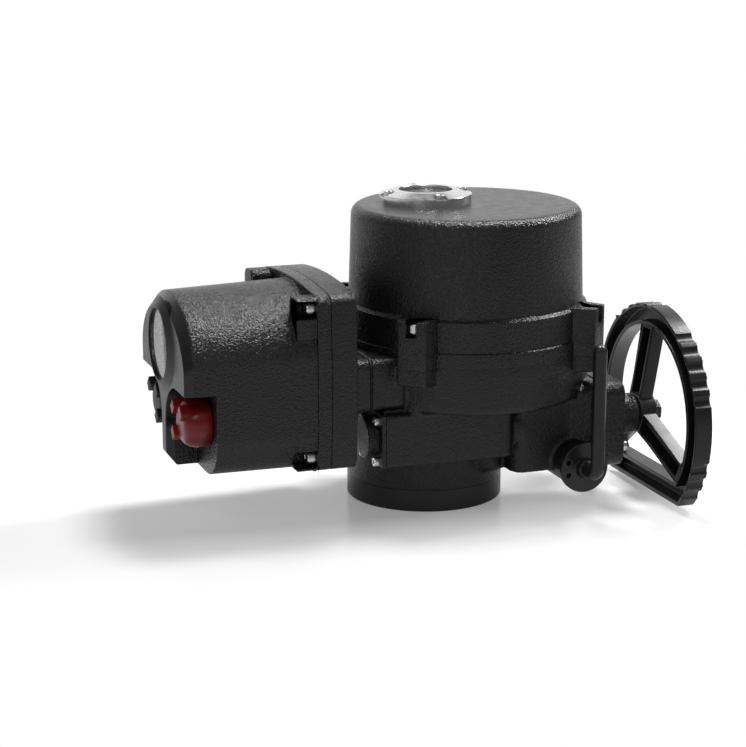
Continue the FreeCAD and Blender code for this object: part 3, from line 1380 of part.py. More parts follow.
def spoke(angle, inset, back):
    """Make one spoke as a slanted bar from the hub to the rim; inset and back shrink it to its channel."""
    half = hand_spoke_half_width.value - inset
    depth = hand_spoke_depth.value
    inner = hand_hub_radius.value - 5 + inset
    outer = hand_rim_radius.value - hand_rim_depth.value + (2 if inset == 0 else -2)
    near = hub_start_x.value + 1 - back
    far = hand_rim_left_x.value - back
    wires = []
    for radius, left in ((inner, near), (outer, far)):
        right = left + depth - (hand_wall.value if inset else 0) + back
        corners = [hand_point(left, radius, angle, -half), hand_point(left, radius, angle, half)]
        corners += [hand_point(right, radius, angle, half), hand_point(right, radius, angle, -half)]
        wires.append(Part.makePolygon(corners + corners[:1]))
    return formed(Part.makeLoft(wires, True, True), "Spoke")


def ring_band(outer, inner, left, right, chord):
    """Make a band of the rim that is cut off flat along the chord and follows it with a bar."""
    ring = tube("X", outer, inner, left, right, worm_axis_y, worm_axis_z)
    low = worm_axis_z - chord
    width = measure(outer) - inner
    below = block(measure(left) - 1, measure(right) + 1, worm_axis_y - outer - 1, worm_axis_y + outer + 1,
                  worm_axis_z - outer - 1, low)
    bar = common(
        cylinder("X", outer, left, right, worm_axis_y, worm_axis_z),
        block(left, right, worm_axis_y - outer, worm_axis_y + outer, low, low + width),
    )
    return fuse(cut(ring, below), bar)


def make_handwheel():
    left = hand_rim_left_x
    right = left + hand_rim_width
    inner = hand_rim_radius - hand_rim_depth
    rim = ring_band(hand_rim_radius, inner, left, right, hand_chord)
    channel = ring_band(hand_rim_radius - hand_wall, inner + hand_wall, left - 1, right - hand_wall,
                        hand_chord - hand_wall)
    grips = []
    group_angle = 360 / grip_groups.value
    reach = hand_rim_radius.value + grip_radius.value - grip_depth.value
    for index in range(int(round(grip_groups.value))):
        start = 180 + group_angle * index + group_angle / 2
        for wave in range(int(round(grip_waves.value))):
            angle = start + (wave - (grip_waves.value - 1) / 2) * grip_pitch_angle.value
            place = hand_point(left.value, reach, angle)
            if place.z > worm_axis_z.value - hand_chord.value:
                grips.append(cylinder("X", grip_radius, left - 1, right + 1, place.y, place.z))
    hub = cylinder("X", hand_hub_radius, hub_start_x, hub_end_x, worm_axis_y, worm_axis_z)
    spokes = [spoke(angle, 0, 0) for angle in (90, 210, 330)]
    troughs = [spoke(angle, hand_wall.value, 3) for angle in (90, 210, 330)]
    bore = cylinder("X", hand_shaft_radius, hub_start_x - 1, hub_end_x + 1, worm_axis_y, worm_axis_z)
    solid = cut(fuse(cut(rim, channel), hub, *spokes), bore, *(grips + troughs))
    node("handwheel", solid)

    hub_disc = cylinder("X", dog_outer_radius, hub_left_x, hub_left_x + 6, worm_axis_y, worm_axis_z)
    shaft = cylinder("X", hand_shaft_radius, hub_left_x, hub_end_x, worm_axis_y, worm_axis_z)
    stud = cylinder("X", hand_thread_radius, hub_end_x - 1, hub_end_x + hand_washer_height + hand_nut_height + 2,
                    worm_axis_y, worm_axis_z)
    node("handwheel_shaft", fuse(hub_disc, shaft, stud, *dogs(hub_dog_left_x, hub_left_x + 0.5, 0)))
    washer_end = hub_end_x + hand_washer_height
    node("handwheel_washer", tube("X", hand_washer_radius, hand_thread_radius, hub_end_x, washer_end,
                                  worm_axis_y, worm_axis_z))
    node("handwheel_nut", cut(
        hexagon("X", hand_nut_radius, washer_end, washer_end + hand_nut_height, worm_axis_y, worm_axis_z),
        cylinder("X", hand_thread_radius, washer_end - 1, washer_end + hand_nut_height + 1, worm_axis_y, worm_axis_z),
    ))


# Control head

def head_wire(x, half_width, spring_z, rise, bottom_z, corner):
    """Draw the head's cross section: half an ellipse on straight sides with round lower corners."""
    y0 = drum_y.value
    left = FreeCAD.Vector(x, y0 - half_width, spring_z)
    right = FreeCAD.Vector(x, y0 + half_width, spring_z)
    top = FreeCAD.Vector(x, y0, spring_z + rise)
    ellipse = Part.Ellipse(right, top, FreeCAD.Vector(x, y0, spring_z))
    low = bottom_z + corner
    inward = corner * (1 - math.sqrt(0.5))
    edges = [
        Part.ArcOfEllipse(ellipse, 0, math.pi).toShape(),
        Part.LineSegment(left, FreeCAD.Vector(x, y0 - half_width, low)).toShape(),
        arc_through((x, y0 - half_width, low), (x, y0 - half_width + inward, bottom_z + inward),
                    (x, y0 - half_width + corner, bottom_z)),
        Part.LineSegment(FreeCAD.Vector(x, y0 - half_width + corner, bottom_z),
                         FreeCAD.Vector(x, y0 + half_width - corner, bottom_z)).toShape(),
        arc_through((x, y0 + half_width - corner, bottom_z), (x, y0 + half_width - inward, bottom_z + inward),
                    (x, y0 + half_width, low)),
        Part.LineSegment(FreeCAD.Vector(x, y0 + half_width, low), right).toShape(),
    ]
    return Part.Wire(edges)


def rear_wire(x, inset, corner):
    return head_wire(x.value, head_rear_half_width.value - inset, head_spring_z.value,
                     head_rear_rise.value - inset, head_bottom_z.value + inset, corner)


def front_wire(inset):
    return head_wire(head_front_x.value, head_front_half_width.value - inset, head_spring_z.value,
                     head_front_rise.value - inset, head_bottom_z.value + inset, head_corner.value)


def head_body(rear_x, inset):
    """Loft the head's long body, or its hollow, from the rear to the front edge."""
    wires = [rear_wire(rear_x, inset, head_corner.value), front_wire(inset)]
    return formed(Part.makeLoft(wires, True, True), "Body")


def head_front_band():
    """Loft the bevelled band between the body and the front face."""
    face = head_wire(face_x.value, face_half_width.value, face_spring_z.value, face_rise.value,
                     head_bottom_z.value + head_bevel.value, head_corner.value - head_bevel.value)
    return formed(Part.makeLoft([front_wire(0), face], True, True), "FrontBand")


def flange_plate(start, end, inset=0):
    """Make the control head's flange, whose four sides bulge outward."""
    x = start.value
    y0 = drum_y.value
    half = head_flange_half_width.value - inset
    low = head_flange_bottom_z.value + inset
    high = head_flange_top_z.value - inset
    middle = (low + high) / 2
    bulge = head_flange_bulge.value
    rise = head_flange_rise.value
    edges = [
        arc_through((x, y0 - half, low), (x, y0 - half - bulge, middle), (x, y0 - half, high)),
        arc_through((x, y0 - half, high), (x, y0, high + rise), (x, y0 + half, high)),
        arc_through((x, y0 + half, high), (x, y0 + half + bulge, middle), (x, y0 + half, low)),
        arc_through((x, y0 + half, low), (x, y0, low - rise), (x, y0 - half, low)),
    ]
    plate = formed(Part.Face(Part.Wire(edges)).extrude(FreeCAD.Vector(end.value - x, 0, 0)), "FlangePlate")
    return rounded(plate, head_flange_corner, lambda edge: runs(edge, "x"))


def head_corners():
    """List the four screw places as side in Y, side in Z, y and z."""
    return [(side_y, side_z, drum_y + side_y * head_screw_half_pitch_y, flange_centre_z + side_z * head_screw_half_pitch_z)
            for side_y in (-1, 1) for side_z in (-1, 1)]


def corner_bosses():
    """Make the bosses round the screw pockets and the pockets themselves."""
    bosses = []
    pockets = []
    front = head_seat_x - head_boss_depth
    for side_y, side_z, y, z in head_corners():
        edge_y = drum_y + side_y * head_flange_half_width
        inner_y = drum_y + side_y * (head_flange_half_width - head_boss_width)
        edge_z = head_flange_top_z if side_z > 0 else head_flange_bottom_z
        inner_z = edge_z - side_z * head_boss_height
        ys = sorted((edge_y, inner_y), key=lambda m: m.value)
        zs = sorted((edge_z, inner_z), key=lambda m: m.value)
        bosses.append(rounded(block(front, head_seat_x + 1, ys[0], ys[1], zs[0], zs[1]), 6,
                              lambda edge: runs(edge, "x")))
        pockets.append(cylinder("X", head_pocket_radius, front - 1, head_seat_x, y, z))
        out_y = drum_y + side_y * (head_flange_half_width + 5)
        ys = sorted((y, out_y), key=lambda m: m.value)
        pockets.append(block(front - 1, head_seat_x, ys[0], ys[1], z - head_pocket_radius, z + head_pocket_radius))
        if side_y > 0:
            out_z = edge_z + side_z * 5
            zs = sorted((z, out_z), key=lambda m: m.value)
            pockets.append(block(front - 1, head_seat_x, y - head_pocket_radius, y + head_pocket_radius, zs[0], zs[1]))
    return bosses, pockets


def make_head_cover():
    bosses, pockets = corner_bosses()
    outer = fuse(head_body(head_seat_x + 1, 0), head_front_band(), flange_plate(head_seat_x, head_seam_x), *bosses)
    hollow = head_body(head_seam_x + 1, head_wall.value)
    roof_z = recess_centre_z + recess_radius
    room = cut(hollow, block(face_x - 1, recess_back_x + recess_wall, drum_y - 100, drum_y + 100,
                             head_bottom_z - 10, roof_z + recess_wall))
    recess = []
    for side in (-1, 1):
        centre = drum_y + side * knob_pitch
        outside = drum_y + side * 110
        inside = drum_y + side * (knob_pitch - recess_radius)
        ys = sorted((centre, outside), key=lambda m: m.value)
        recess.append(cylinder("X", recess_radius, face_x - 5, recess_back_x, centre, recess_centre_z))
        recess.append(block(face_x - 5, recess_back_x, ys[0], ys[1], head_bottom_z - 5, roof_z))
        ys = sorted((inside, outside), key=lambda m: m.value)
        recess.append(block(face_x - 5, recess_back_x, ys[0], ys[1], head_bottom_z - 5, recess_centre_z))
    chamfer = prism("XZ_Plane", [
        (face_x - 1, head_bottom_z - 1),
        (face_x + fin_chamfer_x, head_bottom_z - 1),
        (face_x + fin_chamfer_x, head_bottom_z),
        (face_x, head_bottom_z + fin_chamfer_z),
        (face_x - 1, head_bottom_z + fin_chamfer_z),
    ], drum_y - 20, drum_y + 20)
    window = [
        cylinder("X", window_view_radius, face_x - 1, head_front_x + 1, drum_y, window_z),
        cylinder("X", window_radius + running_clearance, face_x - 1, glass_back_x, drum_y, window_z),
    ]
    shafts = [cylinder("X", knob_shaft_radius + running_clearance, recess_back_x - 1, recess_back_x + recess_wall + 1,
                       drum_y + side * knob_pitch, knob_z) for side in (-1, 1)]
    holes = [cylinder("X", head_screw_radius + screw_clearance, head_seat_x - 1, head_seam_x + 1, y, z)
             for side_y, side_z, y, z in head_corners()]
    tools = [room, chamfer] + recess + window + shafts + pockets + holes
    node("control_head_cover", cut(outer, *tools))


def seal_ring(start, end):
    """Make the ring that follows the head's opening in the middle of its flange."""
    shapes = []
    for inset in (head_seal_inset.value, head_seal_inset.value + seal_width.value):
        wire = rear_wire(start, inset, head_corner.value + head_wall.value - inset)
        shapes.append(formed(Part.Face(wire).extrude(FreeCAD.Vector(end.value - start.value, 0, 0)), "RingSide"))
    return cut(shapes[0], shapes[1])


def make_head_base():
    flange = flange_plate(head_seam_x, head_base_back_x)
    neck = rounded(
        block(head_base_back_x - 1, neck_seam_x, drum_y - port_half_width, drum_y + port_half_width,
              port_bottom_z, port_top_z),
        port_corner,
        lambda edge: runs(edge, "x"),
    )
    wire = rear_wire(head_seam_x - 1, head_wall.value + base_wall_step.value, head_corner.value)
    pocket = formed(Part.Face(wire).extrude(FreeCAD.Vector(base_pocket_depth.value + 1, 0, 0)), "BasePocket")
    passage = block(head_seam_x - 1, neck_seam_x + 1, drum_y - port_half_width + port_wall,
                    drum_y + port_half_width - port_wall, drum_floor_z + 2, parting_z - 2)
    holes = [cylinder("X", head_screw_radius + running_clearance, head_seam_x - 1,
                      head_seat_x + head_screw_length + 2, y, z) for side_y, side_z, y, z in head_corners()]
    plug_x = (head_seam_x + seal_depth + head_base_back_x) / 2
    entry = [cylinder("Y", plug_radius, drum_y + head_flange_half_width - 14, drum_y + head_flange_half_width + 10,
                      plug_x, flange_centre_z + side * plug_pitch / 2) for side in (-1, 1)]
    groove = seal_ring(head_seam_x - 1, head_seam_x + seal_depth)
    node("control_head_base", cut(fuse(flange, neck), pocket, passage, groove, *(holes + entry)))
    node("control_head_seal", seal_ring(head_seam_x, head_seam_x + seal_depth))
    gasket = rounded(
        block(neck_seam_x, neck_seam_x + neck_gasket_thickness, drum_y - port_half_width, drum_y + port_half_width,
              port_bottom_z, port_top_z),
        port_corner,
        lambda edge: runs(edge, "x"),
    )
    hole = block(neck_seam_x - 1, neck_seam_x + neck_gasket_thickness + 1, drum_y - port_half_width + port_wall,
                 drum_y + port_half_width - port_wall, drum_floor_z + 2, parting_z - 2)
    node("neck_gasket", cut(gasket, hole))
    screws = [socket_screw("X", 1, head_seat_x, y, z, head_screw_radius, head_screw_head_radius,
                           head_screw_head_height, head_screw_length) for side_y, side_z, y, z in head_corners()]
    node("control_head_screws", group(*screws))
    plugs = []
    wall_y = drum_y + head_flange_half_width + head_flange_bulge
    for side in (-1, 1):
        z = flange_centre_z + side * plug_pitch / 2
        plugs.append(fuse(
            cylinder("Y", plug_radius, drum_y + head_flange_half_width - 14 + 6, wall_y + 0.5, plug_x, z),
            hexagon("Y", plug_head_radius, wall_y, wall_y + plug_head_height, plug_x, z),
        ))
    node("cable_entry_plugs", group(*plugs))


def make_window():
    front = face_x - bezel_height
    node("display_bezel", turned("X", [
        (window_radius + running_clearance, face_x),
        (window_radius + running_clearance, front),
        (bezel_rim_radius, front),
        (bezel_outer_radius, face_x),
    ], drum_y, window_z))
    node("display_glass", cylinder("X", window_radius, glass_front_x, glass_back_x, drum_y, window_z))
    start = head_front_x
    node("display_module", block(start, start + display_thickness, drum_y - display_half, drum_y + display_half,
                                 window_z - window_view_radius * 0.9, window_z + window_view_radius * 0.9))


def make_electronics():
    floor = head_seam_x + base_pocket_depth
    board_right = floor - standoff_length
    board = block(board_right - board_thickness, board_right, drum_y - board_half_width, drum_y + board_half_width,
                  board_bottom_z, board_top_z)
    parts = [block(board_right - board_thickness - 16, board_right - board_thickness + 0.2, drum_y - 40, drum_y - 8,
                   board_bottom_z + 10, board_bottom_z + 50),
             block(board_right - board_thickness - 10, board_right - board_thickness + 0.2, drum_y + 6, drum_y + 40,
                   board_bottom_z + 20, board_bottom_z + 44)]
    node("control_board", fuse(board, *parts))
    posts = []
    for side in (-1, 1):
        for z in (board_bottom_z + 6, board_top_z - 6):
            y = drum_y + side * (board_half_width - 6)
            posts.append(cylinder("X", standoff_radius, board_right, floor, y, z))
    node("board_standoffs", group(*posts))
    top = board_bottom_z - 2
    node("terminal_block", block(floor - terminal_depth, floor, drum_y - terminal_half_width,
                                 drum_y + terminal_half_width, top - 16, top))


# Knobs

def knob(side):
    """Make a selector knob: a round skirt, a dome and four lobes with diamond ends."""
    y = drum_y + side * knob_pitch
    z = knob_z
    back = recess_back_x - knob_gap
    shoulder = back - knob_skirt
    nose = -knob_nose_x.value
    start = -shoulder.value
    outer = knob_radius.value
    inner = knob_nose_radius.value
    profile = [(0, back), (knob_radius, back), (knob_radius, shoulder)]
    steps = 4
    for step in range(1, steps):
        turn = math.pi / 2 * step / steps
        profile.append((inner + (outer - inner) * math.cos(turn), -(start + (nose - start) * math.sin(turn))))
    profile += [(knob_nose_radius, knob_nose_x), (0, knob_nose_x)]
    body = turned("X", profile, y, z)
    lobes = []
    for side_y in (-1, 1):
        for side_z in (-1, 1):
            centre_y = y + side_y * knob_lobe_offset_y
            centre_z = z + side_z * knob_lobe_offset_z
            item = DOC.addObject("Part::Prism", "Lobe")
            item.Polygon = 4
            bind(item, "Circumradius", knob_lobe_half)
            bind(item, "Height", shoulder - knob_lobe_x)
            item.Placement.Rotation = TURN["X"]
            locate(item, knob_lobe_x, centre_y, centre_z)
            lobes.append(item)
    round_limit = cylinder("X", knob_radius, knob_lobe_x, shoulder, y, z)
    trimmed = common(fuse(*lobes), round_limit)
    shaft = cylinder("X", knob_shaft_radius, back - 1, recess_back_x + recess_wall + 6, y, z)
    return fuse(body, trimmed, shaft)


def make_knobs():
    node("red_selector_knob", knob(-1))
    node("black_selector_knob", knob(1))
    bodies = []
    start = recess_back_x + recess_wall
    for side in (-1, 1):
        y = drum_y + side * knob_pitch
        bodies.append(cut(
            block(start, start + switch_body_length, y - switch_body_half, y + switch_body_half,
                  knob_z - switch_body_half, knob_z + switch_body_half),
            cylinder("X", knob_shaft_radius + running_clearance, start - 1, start + 6.5, y, knob_z),
        ))
    node("rotary_switches", group(*bodies))


make_housing()
make_base_flange()
make_cover()
make_sight_ring()
make_end_cap()
make_bearings()
make_bushes()
make_output()
make_stops()
make_worm()
make_gear_train()
make_switches()
make_clutch()
make_lever()
make_end_plate()
make_handwheel()
make_head_cover()
make_head_base()
make_window()
make_electronics()
make_knobs()

DOC.recompute()
faults = [item.Name for item in DOC.Objects if "Invalid" in item.State or "Error" in item.State]
for name, item in NODES.items():
    if item.Shape.isNull() or not item.Shape.isValid():
        faults.append(name)
if faults:
    raise SystemExit("faulty: " + ", ".join(faults))

os.makedirs("parts", exist_ok=True)
for name, item in NODES.items():
    item.Shape.exportStep("parts/%s.step" % name)
    print("%-22s solids %d  volume %.0f" % (name, len(item.Shape.Solids), item.Shape.Volume))
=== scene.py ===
import json
import math

import bmesh
import bpy
import numpy as np
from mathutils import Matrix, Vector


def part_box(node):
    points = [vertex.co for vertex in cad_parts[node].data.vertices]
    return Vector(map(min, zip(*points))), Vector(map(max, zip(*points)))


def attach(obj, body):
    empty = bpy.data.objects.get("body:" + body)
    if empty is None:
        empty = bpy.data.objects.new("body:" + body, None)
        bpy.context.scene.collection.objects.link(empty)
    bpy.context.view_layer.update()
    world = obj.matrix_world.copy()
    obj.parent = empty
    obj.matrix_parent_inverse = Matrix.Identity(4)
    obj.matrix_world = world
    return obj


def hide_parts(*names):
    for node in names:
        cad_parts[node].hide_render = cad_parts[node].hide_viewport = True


bl_info = {
    "name": "Quarter-turn electric actuator",
    "version": (1, 0, 0),
    "blender": (4, 5, 0),
    "location": "View3D > Sidebar > Actuator",
    "description": "Finished surfaces, materials, stage and camera for the electric actuator",
    "category": "Object",
}

# Metres. +Z is up along the output axis, the control head is at -X and the lever at the front, -Y.
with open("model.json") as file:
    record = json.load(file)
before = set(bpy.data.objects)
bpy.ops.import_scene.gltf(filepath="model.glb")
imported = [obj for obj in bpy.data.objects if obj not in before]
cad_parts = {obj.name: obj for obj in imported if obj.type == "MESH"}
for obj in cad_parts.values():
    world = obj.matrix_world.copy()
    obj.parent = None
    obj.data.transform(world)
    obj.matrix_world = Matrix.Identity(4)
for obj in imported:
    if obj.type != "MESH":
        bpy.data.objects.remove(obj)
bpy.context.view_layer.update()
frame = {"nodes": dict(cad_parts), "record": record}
MM = 0.001
MERGE = 0.01 * MM
ORIGIN = (0, 0, 0)
MATERIALS = {}
BODIES = frame["record"]["behaviour"]["bodies"]
BODY_OF = {node: body for body, nodes in BODIES.items() for node in nodes}
SLOT_OF = {row["node"]: row["material_slot"] for row in frame["record"]["subparts"]}


def middle(node):
    """Middle of a node's box."""
    low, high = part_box(node)
    return (np.array(low) + np.array(high)) / 2


# Axes and levels from the frame

COVER_AXIS = middle("cover_seal") * (1, 1, 0)
COVER_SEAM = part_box("top_cover")[0][2]
COVER_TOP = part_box("top_cover")[1][2]
GLASS_AXIS = middle("display_glass") * (0, 1, 1)
HEAD_BAND_WIDTH = 8.8 * MM
HEAD_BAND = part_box("display_bezel")[1][0] + HEAD_BAND_WIDTH

# Sizes that the cover and the rims of the housing share

DRUM_RADIUS = 116.5 * MM
LUG_REACH = 134.5 * MM
LUG_HALF = 13.7 * MM
LUG_FOOT_RADIUS = 105 * MM
LUG_FOOT_HALF = 20 * MM
LUG_ANGLES = [47 + 90 * quarter for quarter in range(4)]

# Points round the turned surfaces, and along a dome

SHELL_STEPS = 288
RING_STEPS = 720
WINDOW_STEPS = 128
BEZEL_STEPS = 160
DOME_STEPS = 24

# Noise values lie mostly between these two

NOISE_LOW = 0.3
NOISE_HIGH = 0.7


class ActuatorSizes(bpy.types.PropertyGroup):
    """Sizes of the finished surfaces that the solids leave open."""

    cover_edge: bpy.props.FloatProperty(
        name="Cover edge", description="Radius of the round edge on top of the cover",
        default=9.3 * MM, unit="LENGTH")
    casting_edge: bpy.props.FloatProperty(
        name="Casting edge", description="Width of the rounding along the edges of castings",
        default=1.1 * MM, unit="LENGTH")
    machined_edge: bpy.props.FloatProperty(
        name="Machined edge", description="Width of the broken edges on machined pieces",
        default=0.4 * MM, unit="LENGTH")
    casting_voxel: bpy.props.FloatProperty(
        name="Housing detail", description="Size of the finest detail on the blended housing",
        default=1.9 * MM, unit="LENGTH")
    lug_corner: bpy.props.FloatProperty(
        name="Lug corner", description="Radius of the upright corners of the cover's lugs",
        default=3 * MM, unit="LENGTH")
    grain: bpy.props.FloatProperty(
        name="Paint grain", description="Grains of the textured paint in one metre", default=600)


class ActuatorColours(bpy.types.PropertyGroup):
    """Colours of the visible finishes."""

    paint: bpy.props.FloatVectorProperty(
        name="Paint", description="Textured paint of the castings", subtype="COLOR",
        default=(0.013, 0.013, 0.0135))
    knob: bpy.props.FloatVectorProperty(
        name="Selector knob", description="Plastic of the red selector knob", subtype="COLOR",
        default=(0.36, 0.003, 0.006))
    display: bpy.props.FloatVectorProperty(
        name="Display", description="Face of the display behind its glass", subtype="COLOR",
        default=(0.07, 0.088, 0.083))
    ring: bpy.props.FloatVectorProperty(
        name="Sight ring", description="Turned aluminium of the ring round the sight glass",
        subtype="COLOR", default=(0.90, 0.905, 0.91))


# Outlines and surfaces

def rounded(corners, radii, steps=5):
    """Round each corner of a closed outline: an arc of its radius touches both sides, and each arc
    point is a mix of the directions from the arc's centre to its two ends, weighted by sines."""
    straight = 0.999999
    corners = np.asarray(corners, float)
    radii = np.broadcast_to(np.asarray(radii, float), len(corners))
    before = np.roll(corners, 1, 0) - corners
    after = np.roll(corners, -1, 0) - corners
    before /= np.linalg.norm(before, axis=1, keepdims=True)
    after /= np.linalg.norm(after, axis=1, keepdims=True)
    half = np.arccos(np.clip((before * after).sum(1), -straight, straight)) / 2
    reach = (radii / np.tan(half))[:, None]
    bisector = before + after
    bisector /= np.linalg.norm(bisector, axis=1, keepdims=True)
    centre = corners + bisector * (radii / np.sin(half))[:, None]
    first = corners + before * reach - centre
    last = corners + after * reach - centre
    sweep = (math.pi - 2 * half)[:, None, None]
    share = np.linspace(0, 1, steps)[None, :, None]
    arc = np.sin((1 - share) * sweep) * first[:, None] + np.sin(share * sweep) * last[:, None]
    return (centre[:, None] + arc / np.sin(sweep)).reshape(-1, 2)


def grid_faces(rows, columns, wrap_rows, wrap_columns):
    """Quads between the neighbours of a grid of points, closed round where it wraps."""
    row = np.arange(rows if wrap_rows else rows - 1)
    column = np.arange(columns if wrap_columns else columns - 1)
    row, column = (part.ravel() for part in np.meshgrid(row, column, indexing="ij"))
    next_row = (row + 1) % rows
    next_column = (column + 1) % columns
    corners = [row * columns + column, row * columns + next_column,
               next_row * columns + next_column, next_row * columns + column]
    return np.stack(corners, 1).tolist()


def on_axis(axis, across, height, centre):
    """Put plane points (first, second) and their height on an axis that runs along X, Y or Z."""
    first, second = across[..., 0], across[..., 1]
    height = np.broadcast_to(height, first.shape)
    order = {"X": (height, first, second), "Y": (first, height, second), "Z": (first, second, height)}
    return np.stack(order[axis], -1) + np.asarray(centre, float)


def round_angles(steps):
    """Equal steps of one full turn, without its end."""
    return np.linspace(0, 2 * math.pi, steps, endpoint=False)


def revolved(profile, axis, centre, steps=256, closed=True):
    """Turn a profile of (radius, height) about an axis: the point at an angle is the radius times its
    cosine and sine, at the profile's height. A profile that ends on the axis isn't closed."""
    profile = np.asarray(profile, float)
    angle = round_angles(steps)[:, None]
    across = np.stack([np.cos(angle) * profile[:, 0], np.sin(angle) * profile[:, 0]], -1)
    points = on_axis(axis, across, profile[:, 1], centre)
    return points.reshape(-1, 3), grid_faces(steps, len(profile), True, closed)


def outward(outline):
    """Offset of each outline point that moves both of its sides out by one: the sum of the sides'
    normals over one plus their product, which is kept from growing past a limit at sharp corners."""
    shortest_side = 1e-12
    least_share = 0.3
    side = np.roll(outline, -1, 0) - outline
    normal = np.stack([side[:, 1], -side[:, 0]], 1)
    normal /= np.maximum(np.linalg.norm(normal, axis=1, keepdims=True), shortest_side)
    other = np.roll(normal, 1, 0)
    return (normal + other) / np.maximum(1 + (normal * other).sum(1, keepdims=True), least_share)


def prism(outline, axis, centre, low, high, low_round=0.0, high_round=0.0, steps=4):
    """Carry an outline along an axis. Near both ends it shrinks by one minus the sine of an angle
    while its height moves by one minus the cosine, which rounds the end by a quarter circle."""
    outline = np.asarray(outline, float)
    turn = np.linspace(0, math.pi / 2, steps)
    rise = 1 - np.cos(turn)
    inset = 1 - np.sin(turn)
    heights = np.concatenate([low + low_round * rise, high - high_round * rise[::-1]])
    insets = np.concatenate([low_round * inset, high_round * inset[::-1]])
    rings = outline[None] - outward(outline)[None] * insets[:, None, None]
    points = on_axis(axis, rings, heights[:, None], centre).reshape(-1, 3)
    count = len(outline)
    faces = grid_faces(len(heights), count, False, True)
    faces.append(list(range(count)))
    faces.append(list(range((len(heights) - 1) * count, len(heights) * count)))
    return points, faces


def circle(radius, steps=96):
    """Points at equal angles on a circle."""
    angle = round_angles(steps)
    return radius * np.stack([np.cos(angle), np.sin(angle)], 1)


def turned_by(outline, angle, centre):
    """Turn plane points about the origin by an angle in degrees and move them to a centre."""
    turn = math.radians(angle)
    matrix = np.array([[math.cos(turn), -math.sin(turn)], [math.sin(turn), math.cos(turn)]])
    return outline @ matrix.T + np.asarray(centre, float)[:2]


# Pieces

def merged(shapes):
    """Join several (points, faces) into one: the faces of each count on from the points before it."""
    points, faces = [], []
    start = 0
    for more_points, more_faces in shapes:
        points.append(more_points)
        faces += [[corner + start for corner in face] for face in more_faces]
        start += len(more_points)
    return np.concatenate(points), faces


def tidy(mesh, flat_angle=None):
    """Merge doubles, close poles and turn the faces outward. With a flat angle in degrees, neighbours
    that meet at less become one face."""
    work = bmesh.new()
    work.from_mesh(mesh)
    bmesh.ops.remove_doubles(work, verts=work.verts, dist=MERGE)
    if flat_angle is not None:
        limit = math.radians(flat_angle)
        bmesh.ops.dissolve_limit(work, angle_limit=limit, verts=work.verts, edges=work.edges)
    bmesh.ops.recalc_face_normals(work, faces=work.faces)
    work.to_mesh(mesh)
    work.free()
    mesh.update()


def shade(mesh, sharp=40):
    """Shade smooth, but keep edges sharp where faces meet at more than the angle."""
    mesh.shade_smooth()
    mesh.set_sharp_from_angle(angle=math.radians(sharp))


def add_piece(name, mesh, node, finish):
    """Put a piece on the body of its CAD node, which it stands for, with the finish it is given."""
    obj = bpy.data.objects.new(name, mesh)
    bpy.context.scene.collection.objects.link(obj)
    mesh.materials.clear()
    mesh.materials.append(MATERIALS[finish])
    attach(obj, BODY_OF[node])
    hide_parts(node)
    return obj


def surface_piece(name, shapes, node, finish, sharp=40):
    """Make one piece from worked-out surfaces."""
    points, faces = merged(shapes)
    mesh = bpy.data.meshes.new(name)
    mesh.from_pydata(points.tolist(), [], faces)
    tidy(mesh)
    shade(mesh, sharp)
    add_piece(name, mesh, node, finish)


def copied_mesh(name, node, flat_angle=None):
    """Merged copy of a CAD node's mesh."""
    mesh = frame["nodes"][node].data.copy()
    mesh.name = name
    tidy(mesh, flat_angle)
    return mesh


def dressed_piece(node, finish, edge, flat_angle=0.35, segments=3, sharp_angle=32):
    """Stand for a CAD node with a merged copy whose edges are rounded by a bevel."""
    name = "dressed_" + node
    mesh = copied_mesh(name, node, flat_angle)
    mesh.shade_smooth()
    obj = add_piece(name, mesh, node, finish)
    bevel = obj.modifiers.new("Rounded edges", "BEVEL")
    bevel.width = edge
    bevel.segments = segments
    bevel.limit_method = "ANGLE"
    bevel.angle_limit = math.radians(sharp_angle)
    bevel.use_clamp_overlap = False
    bevel.miter_outer = "MITER_ARC"
    weighted = obj.modifiers.new("Even shading", "WEIGHTED_NORMAL")
    weighted.keep_sharp = True


def cast_piece(node, finish, voxel, rounds=3, factor=0.5):
    """Stand for a CAD node with a merged copy whose corners and joins are blended like a casting's."""
    name = "cast_" + node
    obj = add_piece(name, copied_mesh(name, node), node, finish)
    remesh = obj.modifiers.new("Cast surface", "REMESH")
    remesh.mode = "VOXEL"
    remesh.voxel_size = voxel
    remesh.use_smooth_shade = True
    smooth = obj.modifiers.new("Blended corners", "SMOOTH")
    smooth.factor = factor
    smooth.iterations = rounds


def islands(node):
    """Lowest and highest corner of each separate solid of a node."""
    work = bmesh.new()
    work.from_mesh(frame["nodes"][node].data)
    bmesh.ops.remove_doubles(work, verts=work.verts, dist=MERGE)
    boxes = []
    left = set(work.verts)
    while left:
        group, edge = set(), [left.pop()]
        while edge:
            vert = edge.pop()
            group.add(vert)
            for link in vert.link_edges:
                other = link.other_vert(vert)
                if other in left:
                    left.discard(other)
                    edge.append(other)
        places = np.array([vert.co[:] for vert in group])
        boxes.append((places.min(0), places.max(0)))
    work.free()
    return boxes


# Materials

def feed(links, source, socket):
    """Link a socket to an input, or set a number on it."""
    if isinstance(source, bpy.types.NodeSocket):
        links.new(source, socket)
    else:
        socket.default_value = source


